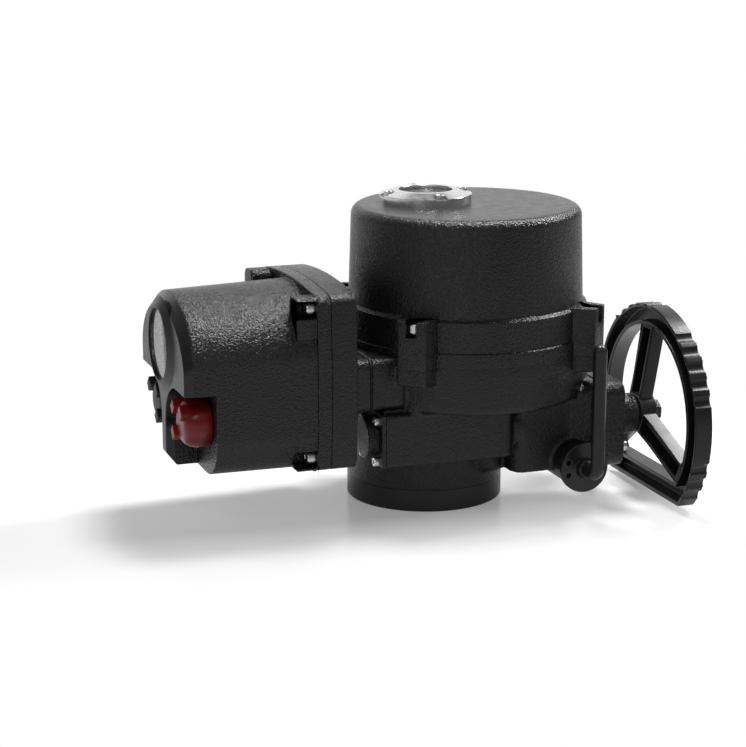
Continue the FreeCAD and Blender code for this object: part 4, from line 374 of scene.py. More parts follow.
class Graph:
    """A material's nodes, with its principled shader."""

    def __init__(self, name):
        self.material = bpy.data.materials.new(name)
        self.material.use_nodes = True
        self.nodes = self.material.node_tree.nodes
        self.links = self.material.node_tree.links
        self.shader = self.nodes["Principled BSDF"]
        self.place = self.nodes.new("ShaderNodeTexCoord").outputs["Object"]
        MATERIALS[name] = self.material

    def set(self, **values):
        """Set inputs of the shader, named with underscores for spaces."""
        for key, value in values.items():
            self.shader.inputs[key.replace("_", " ")].default_value = value
        return self

    def noise(self, scale, detail=2.0, roughness=0.5, place=None):
        """Value of a noise with so many waves in a metre."""
        noise = self.nodes.new("ShaderNodeTexNoise")
        noise.inputs["Scale"].default_value = scale
        noise.inputs["Detail"].default_value = detail
        noise.inputs["Roughness"].default_value = roughness
        self.links.new(place or self.place, noise.inputs["Vector"])
        return noise.outputs["Fac"]

    def stretched(self, scale):
        """Object coordinates with an own scale along each axis."""
        mapping = self.nodes.new("ShaderNodeMapping")
        mapping.inputs["Scale"].default_value = scale
        self.links.new(self.place, mapping.inputs["Vector"])
        return mapping.outputs["Vector"]

    def ranged(self, value, low, high, start=NOISE_LOW, end=NOISE_HIGH):
        """Map a value between start and end to one between low and high."""
        ranged = self.nodes.new("ShaderNodeMapRange")
        ranged.inputs["From Min"].default_value = start
        ranged.inputs["From Max"].default_value = end
        ranged.inputs["To Min"].default_value = low
        ranged.inputs["To Max"].default_value = high
        self.links.new(value, ranged.inputs["Value"])
        return ranged.outputs["Result"]

    def colour(self, value, dark, light):
        """Base colour that goes from dark to light with a value."""
        ramp = self.nodes.new("ShaderNodeValToRGB")
        dark_end, light_end = ramp.color_ramp.elements
        dark_end.position = NOISE_LOW
        light_end.position = NOISE_HIGH
        dark_end.color = (*dark, 1)
        light_end.color = (*light, 1)
        self.links.new(value, ramp.inputs["Fac"])
        self.links.new(ramp.outputs["Color"], self.shader.inputs["Base Color"])
        return self

    def varied(self, base, spread, scale):
        """A base colour that drifts a little lighter and darker."""
        base = np.array(base)
        dark = base * (1 - spread)
        light = np.minimum(base * (1 + spread), 1)
        return self.colour(self.noise(scale, detail=3.0), dark, light)

    def rough(self, value, low, high):
        """Roughness that goes from low to high with a value."""
        self.links.new(self.ranged(value, low, high), self.shader.inputs["Roughness"])

    def bump(self, *layers):
        """Stack bumps, each from a height, a strength and a depth in metres."""
        normal = None
        for height, strength, depth in layers:
            bump = self.nodes.new("ShaderNodeBump")
            feed(self.links, strength, bump.inputs["Strength"])
            bump.inputs["Distance"].default_value = depth
            self.links.new(height, bump.inputs["Height"])
            if normal is not None:
                self.links.new(normal, bump.inputs["Normal"])
            normal = bump.outputs["Normal"]
        self.links.new(normal, self.shader.inputs["Normal"])


def textured_paint(name, colour, grain, strength, roughness, axis=None, limit=0.0, way=1):
    """Powder coat with a fine orange-peel grain over soft waves. The grain fades out within a
    millimetre past a limit along an axis, where the face is smooth."""
    wave_length = 3.1
    wave_share = 0.2
    wave_depth = 0.7 * MM
    peel_depth = 1.3 * MM
    smooth_strength = 0.04
    graph = Graph(name).varied(colour, spread=0.18, scale=40).set(Specular_IOR_Level=0.5)
    peel = graph.noise(grain, detail=1.5, roughness=0.45)
    waves = graph.noise(grain / wave_length, detail=1.0, roughness=0.4)
    graph.rough(graph.noise(scale=90, detail=3.0), low=roughness - 0.03, high=roughness + 0.05)
    peel_strength = strength
    if axis:
        split = graph.nodes.new("ShaderNodeSeparateXYZ")
        graph.links.new(graph.place, split.inputs[0])
        fade_end = limit + way * MM
        peel_strength = graph.ranged(split.outputs[axis], strength, smooth_strength, limit, fade_end)
    graph.bump((waves, strength * wave_share, wave_depth), (peel, peel_strength, peel_depth))


def smooth_paint(name, colour, roughness):
    """Paint with hardly any grain."""
    grain_strength = 0.18
    grain_depth = 0.2 * MM
    graph = Graph(name).varied(colour, spread=0.15, scale=30).set(Specular_IOR_Level=0.5)
    graph.rough(graph.noise(scale=70, detail=3.0), low=roughness - 0.03, high=roughness + 0.06)
    graph.bump((graph.noise(scale=260), grain_strength, grain_depth))


def machined(name, colour, roughness, along, spread=0.08):
    """Bare metal with fine tool marks that run round or across an axis."""
    mark_strength = 0.12
    mark_depth = 0.05 * MM
    graph = Graph(name).varied(colour, spread, scale=60).set(Metallic=1.0)
    marks = graph.noise(scale=1.0, detail=3.0, roughness=0.6, place=graph.stretched(along))
    graph.rough(graph.noise(scale=220), low=roughness - 0.05, high=roughness + 0.08)
    graph.bump((marks, mark_strength, mark_depth))


def plastic(name, colour, roughness, coat=0.0, grain=900.0, strength=0.1):
    """Moulded plastic or rubber with a fine skin and, where it has one, a glossy coat."""
    grain_depth = 0.08 * MM
    graph = Graph(name).varied(colour, spread=0.06, scale=25).set(Coat_Weight=coat, Coat_Roughness=0.08)
    graph.rough(graph.noise(scale=130), low=roughness - 0.03, high=roughness + 0.04)
    graph.bump((graph.noise(grain), strength, grain_depth))


def clear_glass(name, tint, roughness=0.02):
    """Window glass, very slightly wavy."""
    wave_strength = 0.03
    wave_depth = 0.2 * MM
    graph = Graph(name).varied(tint, spread=0.02, scale=12)
    graph.set(Transmission_Weight=1.0, IOR=1.5, Roughness=roughness)
    graph.bump((graph.noise(scale=35, detail=1.0), wave_strength, wave_depth))


def circuit_board(name):
    """Green board with paler tracks: bands of a brick pattern in thin lines."""
    graph = Graph(name)
    brick = graph.nodes.new("ShaderNodeTexBrick")
    brick.inputs["Scale"].default_value = 160
    brick.inputs["Mortar Size"].default_value = 0.06
    brick.inputs["Color1"].default_value = (0.01, 0.14, 0.05, 1)
    brick.inputs["Color2"].default_value = (0.012, 0.17, 0.06, 1)
    brick.inputs["Mortar"].default_value = (0.25, 0.3, 0.12, 1)
    graph.links.new(graph.place, brick.inputs["Vector"])
    graph.links.new(brick.outputs["Color"], graph.shader.inputs["Base Color"])
    graph.rough(graph.noise(scale=200), low=0.35, high=0.5)


def make_paints(paint, grain):
    """Paints of the castings, the lever and the handwheel."""
    cover_face = COVER_TOP - 0.9 * MM
    wheel_lightness = 1.35
    wheel = tuple(wheel_lightness * np.array(paint))
    textured_paint("casting", paint, grain, strength=0.8, roughness=0.27)
    textured_paint("housing_casting", paint, grain, strength=0.8, roughness=0.30)
    textured_paint("cover_casting", paint, grain, strength=0.8, roughness=0.27,
                   axis="Z", limit=cover_face)
    textured_paint("head_casting", paint, grain, strength=1.0, roughness=0.24,
                   axis="X", limit=HEAD_BAND, way=-1)
    smooth_paint("dark_casting", paint, roughness=0.34)
    smooth_paint("wheel_paint", wheel, roughness=0.30)


def make_metals(ring):
    """Bare metals, with the number of tool marks in a metre along each axis."""
    machined("stainless", (0.70, 0.70, 0.69), roughness=0.22, along=(500, 500, 40))
    machined("polished", ring, roughness=0.17, along=(30, 30, 900), spread=0.03)
    machined("steel", (0.45, 0.45, 0.46), roughness=0.32, along=(60, 600, 600))
    machined("bronze", (0.62, 0.43, 0.20), roughness=0.34, along=(500, 500, 60))
    machined("brass", (0.76, 0.58, 0.26), roughness=0.28, along=(60, 500, 500))
    machined("bare_aluminium", (0.66, 0.67, 0.68), roughness=0.42, along=(120, 300, 300))


def make_plastics(knob, display):
    """Plastics, rubber, glass and the circuit board."""
    plastic("rubber", (0.018, 0.018, 0.018), roughness=0.72, grain=500, strength=0.3)
    plastic("black_plastic", (0.02, 0.02, 0.021), roughness=0.48, grain=800, strength=0.2)
    plastic("black_gloss", (0.010, 0.010, 0.011), roughness=0.42, grain=300, strength=0.04)
    plastic("red_plastic", knob, roughness=0.30, coat=0.15, grain=300, strength=0.05)
    plastic("indicator", (0.16, 0.16, 0.15), roughness=0.4, coat=0.2)
    plastic("display_face", display, roughness=0.35, coat=0.3, grain=600, strength=0.03)
    clear_glass("glass", (0.93, 0.96, 0.95))
    circuit_board("board")


# Operators

class PieceOperator:
    """Shared by all operators: the settings of the scene."""

    bl_options = {"REGISTER", "UNDO"}

    @property
    def sizes(self):
        return bpy.context.scene.actuator_sizes

    @property
    def colours(self):
        return bpy.context.scene.actuator_colours


class ACTUATOR_OT_finishes(PieceOperator, bpy.types.Operator):
    """Make the materials and give each CAD piece the one of its slot"""

    bl_idname = "actuator.finishes"
    bl_label = "Finishes"

    def execute(self, context):
        colours = self.colours
        make_paints(tuple(colours.paint), self.sizes.grain)
        make_metals(tuple(colours.ring))
        make_plastics(tuple(colours.knob), tuple(colours.display))
        for node, obj in frame["nodes"].items():
            obj.data.materials.clear()
            obj.data.materials.append(MATERIALS[SLOT_OF[node]])
        frame["nodes"]["display_module"].data.materials[0] = MATERIALS["display_face"]
        return {"FINISHED"}


def lug_outline(corner):
    """Plan of a lug: a block that widens towards the drum, with round outer corners."""
    block = [(LUG_FOOT_RADIUS, -LUG_FOOT_HALF), (LUG_REACH, -LUG_HALF),
             (LUG_REACH, LUG_HALF), (LUG_FOOT_RADIUS, LUG_FOOT_HALF)]
    return rounded(block, [0, corner, corner, 0], 6)


def slotted_lug_outline(corner, bore_at=124.5 * MM, bore_radius=7.2 * MM, slot_half=5 * MM):
    """Plan of a lug's upper part: its outer side opens through a slot into the round screw bore."""
    mirror = (1, -1)
    steps = 6
    bore_steps = 25
    opening = math.asin(slot_half / bore_radius)
    angle = np.linspace(-opening, opening - 2 * math.pi, bore_steps)
    bore = np.stack([bore_at + bore_radius * np.cos(angle), bore_radius * np.sin(angle)], 1)
    foot = np.array([(LUG_FOOT_RADIUS, -LUG_FOOT_HALF)])
    half_plan = [foot[0], (LUG_REACH, -LUG_HALF), (LUG_REACH, -slot_half), (bore_at, -slot_half)]
    lower = rounded(half_plan, [0, corner, 0, 0], steps)[1:-steps]
    upper = lower[::-1] * mirror
    return np.concatenate([foot, lower, bore, upper, foot * mirror])


def cover_profile(edge, band_step):
    """Half section of the cover as (radius, height, rounding): the inside of its wall, the seam, the
    step in to the band, the leaning side and the round top edge. It ends on the window hole."""
    wall = 6 * MM
    lower_wall = 1.17 * wall
    top = 108.5 * MM
    foot = 111.3 * MM
    band = DRUM_RADIUS - band_step
    band_low = COVER_SEAM + 14 * MM
    band_high = COVER_SEAM + 41.7 * MM
    step_slope = 0.8 * MM
    shoulder = 2.8 * MM
    flat = top - 2 * edge
    section = np.array([
        (flat, COVER_TOP - wall, 0),
        (top - wall, COVER_TOP - wall, 4 * MM),
        (DRUM_RADIUS - lower_wall, band_high - 2 * MM, 2 * MM),
        (DRUM_RADIUS - wall, COVER_SEAM, 0.3 * MM),
        (DRUM_RADIUS, COVER_SEAM, 0.1 * MM),
        (DRUM_RADIUS, band_low - step_slope, 0.5 * MM),
        (band, band_low, 0.3 * MM),
        (band, band_high, 1.2 * MM),
        (foot, band_high + shoulder, 2.2 * MM),
        (top, COVER_TOP, edge),
        (flat, COVER_TOP, 0),
    ])
    return rounded(section[:, :2], section[:, 2], 8)


def cover_shell_shape(profile):
    """Turn the cover's half section about the drum's axis. Both of its ends then go to the edge of the
    window hole, a circle about the output axis."""
    points, faces = revolved(profile, "Z", COVER_AXIS, SHELL_STEPS)
    rows = points.reshape(SHELL_STEPS, -1, 3)
    window = circle(27 * MM, SHELL_STEPS)
    rows[:, 0, :2] = window
    rows[:, -1, :2] = window
    return points, faces


def cover_lug_shapes(corner):
    """Each lug is a plain block up to the screw's seat, and a slotted one above it."""
    seat = COVER_SEAM + 30 * MM
    lug_top = COVER_SEAM + 45 * MM
    shapes = []
    for angle in LUG_ANGLES:
        plain = turned_by(lug_outline(corner), angle, COVER_AXIS)
        slotted = turned_by(slotted_lug_outline(corner), angle, COVER_AXIS)
        shapes.append(prism(plain, "Z", ORIGIN, COVER_SEAM, seat, low_round=0.5 * MM))
        shapes.append(prism(slotted, "Z", ORIGIN, seat, lug_top, high_round=0.9 * MM))
    return shapes


class ACTUATOR_OT_top_cover(PieceOperator, bpy.types.Operator):
    """Make the round cover with its stepped band, and its four screw lugs"""

    bl_idname = "actuator.top_cover"
    bl_label = "Top cover"

    band_step: bpy.props.FloatProperty(
        name="Band step", description="How far the band is set back from the drum",
        default=1.5 * MM, unit="LENGTH")

    def execute(self, context):
        shell = cover_shell_shape(cover_profile(self.sizes.cover_edge, self.band_step))
        surface_piece("cover_shell", [shell], "top_cover", "cover_casting", sharp=30)
        lugs = cover_lug_shapes(self.sizes.lug_corner)
        surface_piece("cover_lugs", lugs, "top_cover", "casting", sharp=35)
        return {"FINISHED"}


def seam_rim():
    """Rim of the housing right under the cover's seam, a profile turned about the drum's axis."""
    radius = DRUM_RADIUS + 0.05 * MM
    inside = radius - 4 * MM
    low = COVER_SEAM - 14.5 * MM
    slope = 2 * MM
    outline = [(inside, low), (radius, low + slope), (radius, COVER_SEAM), (inside, COVER_SEAM)]
    return revolved(rounded(outline, np.array([0, 1, 0.1, 0]) * MM), "Z", COVER_AXIS, SHELL_STEPS)


def foot_rim():
    """Rim of the housing on the base ring, a profile turned about the output axis."""
    base_low, base_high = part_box("base_flange")
    radius = (base_high[1] - base_low[1]) / 2 + 0.03 * MM
    foot = base_high[2]
    outline = [(radius - 5 * MM, foot), (radius, foot), (radius, foot + 7 * MM),
               (radius - 3 * MM, foot + 9 * MM)]
    return revolved(rounded(outline, np.array([0, 0.15, 1, 0]) * MM), "Z", ORIGIN, SHELL_STEPS)


def housing_lug_shapes(corner):
    """Upper ends of the housing's lugs, under those of the cover."""
    low = COVER_SEAM - 12 * MM
    plans = [turned_by(lug_outline(corner), angle, COVER_AXIS) for angle in LUG_ANGLES]
    return [prism(plan, "Z", ORIGIN, low, COVER_SEAM, low_round=1 * MM) for plan in plans]


def head_corner_boss():
    """Closed screw boss at the head's far upper corner: a rounded plan carried along X, from in front
    of its screw to the flange."""
    cover_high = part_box("control_head_cover")[1]
    side = cover_high[1]
    inner = side - 24 * MM
    bottom = 182 * MM
    top = 222 * MM
    outline = rounded([(inner, bottom), (side, bottom), (side, top), (inner, top)],
                      np.array([6, 6, 8, 6]) * MM, 6)
    front = frame["nodes"]["control_head_screws"].bound_box[0][0] - 11 * MM
    back = cover_high[0] - 2 * MM
    return prism(outline, "X", ORIGIN, front, back, low_round=1 * MM)


class ACTUATOR_OT_castings(PieceOperator, bpy.types.Operator):
    """Blend the housing like a casting and round the edges of the other castings"""

    bl_idname = "actuator.castings"
    bl_label = "Castings"

    def execute(self, context):
        edge = self.sizes.casting_edge
        small_edge = edge * 0.8
        fine_edge = edge * 0.6
        cast_piece("main_housing", "housing_casting", self.sizes.casting_voxel)
        rims = [seam_rim(), foot_rim(), *housing_lug_shapes(self.sizes.lug_corner)]
        surface_piece("housing_rims", rims, "main_housing", "housing_casting", sharp=35)
        dressed_piece("control_head_cover", "head_casting", edge)
        surface_piece("head_corner_boss", [head_corner_boss()], "control_head_cover", "head_casting")
        dressed_piece("control_head_base", "casting", edge)
        dressed_piece("end_plate", "housing_casting", edge)
        dressed_piece("worm_end_cap", "housing_casting", small_edge)
        dressed_piece("base_flange", "dark_casting", fine_edge)
        dressed_piece("handwheel", "wheel_paint", edge, flat_angle=None)
        dressed_piece("clutch_lever", "wheel_paint", small_edge)
        return {"FINISHED"}


def sight_ring_shape():
    """The ring round the sight glass on a grid of radii and angles. Its top is the lower of a cone and
    a flat; near each screw, and from there outward as far as the screw's seat is wide, it is the
    seat."""
    low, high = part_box("sight_ring")
    outer = (high[0] - low[0]) / 2
    inner = 25.5 * MM
    inner_edge = 0.4 * MM
    outer_edge = 0.3 * MM
    wall_top = high[2] - 4 * MM
    cone = 30 * MM
    seat = high[2] - 5.4 * MM
    seat_radius = 6 * MM
    screw_circle = 37.5 * MM
    rings = 62
    eighth = math.pi / 4
    angle = round_angles(RING_STEPS)[:, None]
    radius = np.linspace(inner + inner_edge, outer - outer_edge, rings)[None, :]
    slope = (high[2] - wall_top) / (outer - cone)
    top = np.minimum(high[2], high[2] - (radius - cone) * slope)
    to_screw = (angle + eighth) % (2 * eighth) - eighth
    along = radius * np.cos(to_screw) - screw_circle
    aside = np.abs(radius * np.sin(to_screw))
    near_screw = (np.hypot(along, aside) < seat_radius) | ((along > 0) & (aside < seat_radius))
    top = np.where(near_screw, seat, top)
    rows = np.broadcast_to(radius, top.shape)
    rim_top = np.minimum(top[:, -1:], wall_top - outer_edge)
    one = np.ones_like(angle)
    rows = np.concatenate([one * inner, one * inner, rows, one * outer, one * outer], 1)
    inner_top = one * (high[2] - inner_edge)
    heights = np.concatenate([one * low[2], inner_top, top, rim_top, one * low[2]], 1)
    across = np.stack([rows * np.cos(angle), rows * np.sin(angle)], -1)
    points = on_axis("Z", across, heights, ORIGIN).reshape(-1, 3)
    return points, grid_faces(RING_STEPS, rows.shape[1], True, True)


class ACTUATOR_OT_machined(PieceOperator, bpy.types.Operator):
    """Break the edges of the machined pieces"""

    bl_idname = "actuator.machined"
    bl_label = "Machined pieces"

    def execute(self, context):
        edge = self.sizes.machined_edge
        ring = sight_ring_shape()
        surface_piece("sight_ring_surface", [ring], "sight_ring", "polished", sharp=25)
        dressed_piece("handwheel_nut", "casting", edge)
        dressed_piece("handwheel_washer", "casting", edge)
        dressed_piece("handwheel_shaft", "steel", edge)
        dressed_piece("stop_lock_nuts", "stainless", edge)
        dressed_piece("stop_screws", "stainless", edge)
        dressed_piece("cable_entry_plugs", "black_plastic", edge)
        return {"FINISHED"}


def socket_head(axis, way, centre, top, radius):
    """Head of a socket screw. Its knurled side is a circle with a small cosine wave, and the edge of
    its hexagonal socket lies at half its width over the cosine of the angle to the nearest flat."""
    height = 1.23 * radius
    shank = 0.5 * radius
    shank_depth = 1 * MM
    knurls = 36
    knurl_share = 0.014
    socket_half = 0.46 * radius
    sixth = math.pi / 3
    steps = 4 * knurls
    angle = round_angles(steps)
    plain = np.ones_like(angle)
    knurl = radius * (1 + knurl_share * np.cos(knurls * angle) - knurl_share)
    hexagon = socket_half / np.cos((angle + sixth / 2) % sixth - sixth / 2)
    axis_row = 0 * plain
    shank_row = shank * plain
    seat_row = 0.94 * radius * plain
    rim_row = 0.985 * radius * plain
    face_row = 0.9 * radius * plain
    rows = [
        (axis_row, -shank_depth), (shank_row, -shank_depth), (shank_row, 0),
        (seat_row, 0), (rim_row, 0.06 * height), (knurl, 0.12 * height),
        (knurl, 0.84 * height), (rim_row, 0.9 * height), (face_row, height),
        (hexagon * 1.1, height), (hexagon, 0.95 * height), (hexagon, 0.5 * height),
        (axis_row, 0.44 * height),
    ]
    reach = np.stack([row for row, level in rows], 1)
    level = np.array([level for row, level in rows]) - height
    across = np.stack([np.cos(angle)[:, None] * reach, np.sin(angle)[:, None] * reach], -1)
    points = on_axis(axis, across, top + way * level[None, :], centre)
    return points.reshape(-1, 3), grid_faces(steps, len(rows), True, False)


# Node, axis of the screws, the way their heads point, and how far the heads stand up on washers
SOCKET_SCREWS = (
    ("cover_screws", "Z", 1, 4 * MM),
    ("sight_ring_screws", "Z", 1, 0),
    ("end_cap_screws", "X", -1, 0),
    ("end_plate_screws", "X", 1, 0),
    ("control_head_screws", "X", -1, 0),
)


class ACTUATOR_OT_screws(PieceOperator, bpy.types.Operator):
    """Make the heads of the socket screws where the CAD screws sit"""

    bl_idname = "actuator.screws"
    bl_label = "Socket screws"

    def execute(self, context):
        for node, axis, way, washer in SOCKET_SCREWS:
            lane = "XYZ".index(axis)
            shapes = []
            for low, high in islands(node):
                centre = (low + high) / 2
                top = (high[lane] if way > 0 else low[lane]) + way * washer
                centre[lane] = 0
                radius = (high - low)[(lane + 1) % 3] / 2
                shapes.append(socket_head(axis, way, centre, top, radius))
            surface_piece("heads_" + node, shapes, node, "stainless", sharp=30)
        return {"FINISHED"}


def sight_window():
    """Sight glass, a flat disc with broken edges."""
    low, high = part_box("sight_glass")
    radius = (high[0] - low[0]) / 2
    outline = [(0, low[2]), (radius, low[2]), (radius, high[2]), (0, high[2])]
    profile = rounded(outline, np.array([0, 0.5, 0.5, 0]) * MM)
    return revolved(profile, "Z", ORIGIN, WINDOW_STEPS, closed=False)


def display_window(crown):
    """Display glass, a disc whose face falls back from its crown with the square of the radius."""
    low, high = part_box("display_glass")
    radius = (high[1] - low[1]) / 2
    share = np.linspace(0, 1, DOME_STEPS)
    dome = np.stack([radius * share, low[0] + crown * share ** 2], 1)
    profile = np.concatenate([dome, [(radius, high[0]), (0, high[0])]])
    return revolved(profile, "X", GLASS_AXIS, WINDOW_STEPS, closed=False)


def display_rim():
    """Bezel round the display glass, with a flat face and a leaning outside."""
    glass_low, glass_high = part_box("display_glass")
    low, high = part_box("display_bezel")
    outer = (high[1] - low[1]) / 2
    inner = (glass_high[1] - glass_low[1]) / 2 + 0.05 * MM
    face = 34.9 * MM
    outline = [(inner, high[0]), (inner, low[0]), (face, low[0]), (outer, high[0])]
    profile = rounded(outline, np.array([0, 0.4, 0.9, 0]) * MM, 6)
    return revolved(profile, "X", GLASS_AXIS, BEZEL_STEPS)


class ACTUATOR_OT_windows(PieceOperator, bpy.types.Operator):
    """Make the sight glass, the display glass and the bezel round it"""

    bl_idname = "actuator.windows"
    bl_label = "Windows"

    crown: bpy.props.FloatProperty(
        name="Crown", description="How far the display glass is domed",
        default=0.5 * MM, unit="LENGTH")

    def execute(self, context):
        surface_piece("sight_window", [sight_window()], "sight_glass", "glass")
        surface_piece("display_window", [display_window(self.crown)], "display_glass", "glass")
        surface_piece("display_rim", [display_rim()], "display_bezel", "dark_casting")
        return {"FINISHED"}


def knob_dome(radius, nose, shoulder, back):
    """Profile of a knob from its back: a straight skirt, then a quarter ellipse from the shoulder in to
    the flat nose."""
    nose_radius = 12 * MM
    nose_dip = 0.2 * MM
    turn = np.linspace(0, math.pi / 2, DOME_STEPS)
    across = nose_radius + (radius - nose_radius) * np.cos(turn)
    dome = np.stack([across, shoulder + (nose - shoulder) * np.sin(turn)], 1)
    skirt = rounded([(0, back), (radius, back), (radius, shoulder)], np.array([0, 0.8, 0]) * MM)[:-1]
    return np.concatenate([skirt, dome, [(0, nose - nose_dip)]])


def knob_shapes(node, side):
    """A selector knob: a dome, three diamond lobes that stay inside its skirt, and the shaft."""
    low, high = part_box(node)
    centre = (0, (low[1] + high[1]) / 2, (low[2] + high[2]) / 2)
    radius = (high[1] - low[1]) / 2
    lobe_front = low[0]
    nose = low[0] + 3.5 * MM
    back = low[0] + 28.1 * MM
    shoulder = back - 9.6 * MM
    dome = knob_dome(radius, nose, shoulder, back)
    shapes = [revolved(dome, "X", centre, WINDOW_STEPS, closed=False)]
    half = 8.2 * MM
    lobe_place = np.array([14.5 * MM, 13 * MM])
    lobe_limit = radius - 0.1 * MM
    diamond = rounded([(half, 0), (0, half), (-half, 0), (0, -half)], 0.7 * MM)
    for corner in ((-side, -1), (-1, 1), (1, 1)):
        outline = diamond + lobe_place * corner
        distance = np.linalg.norm(outline, axis=1, keepdims=True)
        outline = outline * np.minimum(1, lobe_limit / distance)
        shapes.append(prism(outline, "X", centre, lobe_front, shoulder, low_round=0.6 * MM))
    shaft = circle(4 * MM, 32)
    shapes.append(prism(shaft, "X", centre, back - 0.5 * MM, high[0], high_round=0.3 * MM))
    return shapes


# Node, name of its piece, side along Y that has no lower lobe, and finish
KNOBS = (
    ("red_selector_knob", "red_knob_shape", -1, "red_plastic"),
    ("black_selector_knob", "black_knob_shape", 1, "black_gloss"),
)


class ACTUATOR_OT_knobs(PieceOperator, bpy.types.Operator):
    """Make the two selector knobs"""

    bl_idname = "actuator.knobs"
    bl_label = "Selector knobs"

    def execute(self, context):
        for node, name, side, finish in KNOBS:
            surface_piece(name, knob_shapes(node, side), node, finish)
        return {"FINISHED"}


# Stage

def area_lamp(name, place, target, width, height, power):
    """Soft box that points from its place to a target and doesn't show itself to the camera."""
    lamp = bpy.data.lights.new(name, "AREA")
    lamp.shape = "RECTANGLE"
    lamp.size = width
    lamp.size_y = height
    lamp.energy = power
    obj = bpy.data.objects.new(name, lamp)
    bpy.context.scene.collection.objects.link(obj)
    obj.visible_camera = False
    way = np.asarray(target, float) - np.asarray(place, float)
    flat = math.hypot(way[0], way[1])
    obj.location = place
    obj.rotation_euler = (math.atan2(flat, -way[2]), 0, math.atan2(-way[0], way[1]))


def combined(tree, operation, first, second):
    """Result of a math node on two sockets or numbers."""
    node = tree.nodes.new("ShaderNodeMath")
    node.operation = operation
    feed(tree.links, first, node.inputs[0])
    feed(tree.links, second, node.inputs[1])
    return node.outputs[0]


def mixed(tree, factor, first, second):
    """Mix of two shaders."""
    mix = tree.nodes.new("ShaderNodeMixShader")
    tree.links.new(factor, mix.inputs["Fac"])
    tree.links.new(first, mix.inputs[1])
    tree.links.new(second, mix.inputs[2])
    return mix.outputs[0]


def seen_rays(tree, glossy_share):
    """One for rays from the camera or through glass, and a share for mirrored ones."""
    path = tree.nodes.new("ShaderNodeLightPath").outputs
    seen = combined(tree, "MAXIMUM", path["Is Camera Ray"], path["Is Transmission Ray"])
    mirrored = combined(tree, "MULTIPLY", path["Is Glossy Ray"], glossy_share)
    return combined(tree, "MAXIMUM", seen, mirrored)


def make_world(glossy_share, soft_light):
    """White to the camera, and a soft grey light for everything else."""
    world = bpy.data.worlds.new("Studio")
    bpy.context.scene.world = world
    world.use_nodes = True
    tree = world.node_tree
    soft = tree.nodes["Background"]
    white = tree.nodes.new("ShaderNodeBackground")
    for background, strength in ((soft, soft_light), (white, 1.0)):
        background.inputs["Color"].default_value = (1, 1, 1, 1)
        background.inputs["Strength"].default_value = strength
    mix = mixed(tree, seen_rays(tree, glossy_share), soft.outputs[0], white.outputs[0])
    tree.links.new(mix, tree.nodes["World Output"].inputs["Surface"])


def white_glow(tree, strength):
    """White light of a strength that a socket gives."""
    glow = tree.nodes.new("ShaderNodeEmission")
    glow.inputs["Color"].default_value = (1, 1, 1, 1)
    tree.links.new(strength, glow.inputs["Strength"])
    return glow.outputs[0]


def floor_material(clear_radius):
    """Pale floor, a little lifted for the camera, that turns plain white further out. The distance from
    the origin counts half along X and threefold along Y, because the shadow falls along X."""
    near_glossy_share = 0.6
    far_glossy_share = 0.62
    lift_share = 0.22
    far_radius = 3.4 * clear_radius
    distance_scale = (0.5, 3.0, 1)
    graph = Graph("floor").set(Base_Color=(0.82, 0.82, 0.82, 1), Roughness=0.22, Specular_IOR_Level=0.15)
    tree = graph.material.node_tree
    lift = combined(tree, "MULTIPLY", seen_rays(tree, near_glossy_share), lift_share)
    lifted = tree.nodes.new("ShaderNodeAddShader")
    tree.links.new(graph.shader.outputs[0], lifted.inputs[0])
    tree.links.new(white_glow(tree, lift), lifted.inputs[1])
    white = white_glow(tree, seen_rays(tree, far_glossy_share))
    length = tree.nodes.new("ShaderNodeVectorMath")
    length.operation = "LENGTH"
    tree.links.new(graph.stretched(distance_scale), length.inputs[0])
    far = graph.ranged(length.outputs["Value"], 0, 1, clear_radius, far_radius)
    mix = mixed(tree, far, lifted.outputs[0], white)
    tree.links.new(mix, tree.nodes["Material Output"].inputs["Surface"])
    return graph.material


def make_floor(reach, clear_radius):
    """Square floor that keeps the shadow near the object."""
    mesh = bpy.data.meshes.new("floor")
    corners = [(-reach, -reach, 0), (reach, -reach, 0), (reach, reach, 0), (-reach, reach, 0)]
    mesh.from_pydata(corners, [], [(0, 1, 2, 3)])
    floor = bpy.data.objects.new("floor", mesh)
    bpy.context.scene.collection.objects.link(floor)
    mesh.materials.append(floor_material(clear_radius))


def make_camera(lens, place, tilt, turn, sensor=36):
    """Camera at a place, tilted and turned by angles in degrees, as the scene's own."""
    camera = bpy.data.cameras.new("camera")
    camera.lens = lens
    camera.sensor_width = sensor
    viewer = bpy.data.objects.new("camera", camera)
    bpy.context.scene.collection.objects.link(viewer)
    viewer.location = place
    viewer.rotation_euler = (math.radians(tilt), 0, math.radians(turn))
    bpy.context.scene.camera = viewer


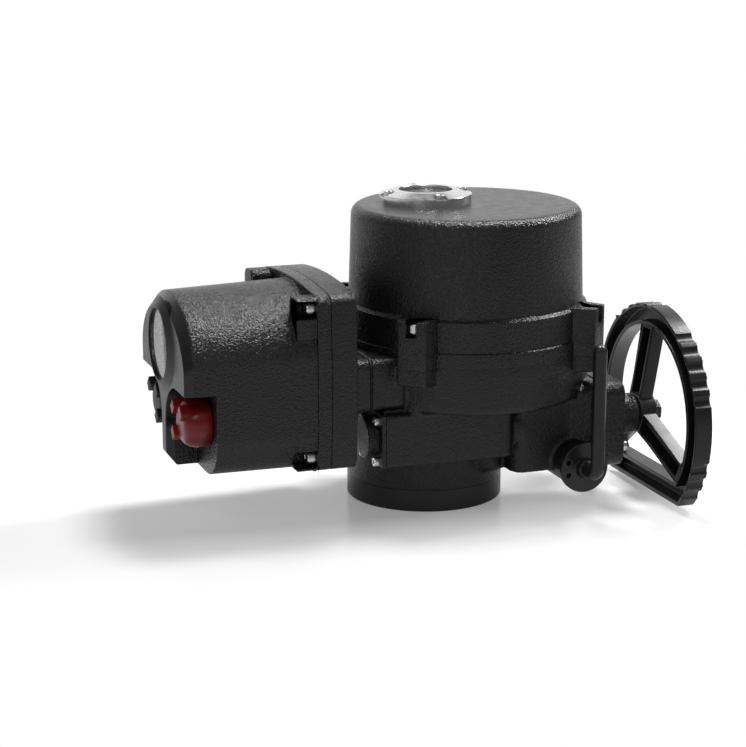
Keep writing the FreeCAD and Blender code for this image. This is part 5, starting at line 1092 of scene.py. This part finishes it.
class ACTUATOR_OT_stage(PieceOperator, bpy.types.Operator):
    """Make the floor, the soft studio light and the camera at the photograph's angle"""

    bl_idname = "actuator.stage"
    bl_label = "Stage"

    lens: bpy.props.FloatProperty(
        name="Lens", description="Focal length in millimetres", default=101.75, unit="CAMERA")

    def execute(self, context):
        bpy.context.scene.view_settings.view_transform = "Standard"
        make_camera(self.lens, place=(-0.7049, -1.8570, 0.5998), tilt=76.33, turn=-19.35)
        target = (0, -0.03, 0.12)
        area_lamp("overhead", (0.10, 0.10, 1.35), target, width=0.36, height=0.28, power=14)
        area_lamp("key", (1.15, 0.20, 1.35), target, width=0.5, height=0.5, power=22)
        area_lamp("back", (0.3, 2.2, 0.9), target, width=3.5, height=1.8, power=12)
        area_lamp("front", (-0.9, -1.3, 1.25), target, width=0.8, height=0.6, power=3)
        make_world(glossy_share=0.10, soft_light=0.13)
        make_floor(reach=6.0, clear_radius=0.22)
        return {"FINISHED"}


class ACTUATOR_PT_panel(bpy.types.Panel):
    """Lists the actuator's settings and pieces"""

    bl_idname = "ACTUATOR_PT_panel"
    bl_label = "Electric actuator"
    bl_space_type = "VIEW_3D"
    bl_region_type = "UI"
    bl_category = "Actuator"

    def draw(self, context):
        layout = self.layout
        for group in (context.scene.actuator_sizes, context.scene.actuator_colours):
            for key in group.__annotations__:
                layout.prop(group, key)
        for operator in OPERATORS:
            layout.operator(operator.bl_idname)


OPERATORS = (
    ACTUATOR_OT_finishes,
    ACTUATOR_OT_top_cover,
    ACTUATOR_OT_castings,
    ACTUATOR_OT_machined,
    ACTUATOR_OT_screws,
    ACTUATOR_OT_windows,
    ACTUATOR_OT_knobs,
    ACTUATOR_OT_stage,
)
CLASSES = (ActuatorSizes, ActuatorColours, *OPERATORS, ACTUATOR_PT_panel)


def register():
    for cls in CLASSES:
        bpy.utils.register_class(cls)
    bpy.types.Scene.actuator_sizes = bpy.props.PointerProperty(type=ActuatorSizes)
    bpy.types.Scene.actuator_colours = bpy.props.PointerProperty(type=ActuatorColours)


def unregister():
    del bpy.types.Scene.actuator_colours
    del bpy.types.Scene.actuator_sizes
    for cls in reversed(CLASSES):
        bpy.utils.unregister_class(cls)


def main():
    register()
    for operator in OPERATORS:
        group, name = operator.bl_idname.split(".")
        getattr(getattr(bpy.ops, group), name)()


if __name__ == "__main__":
    main()
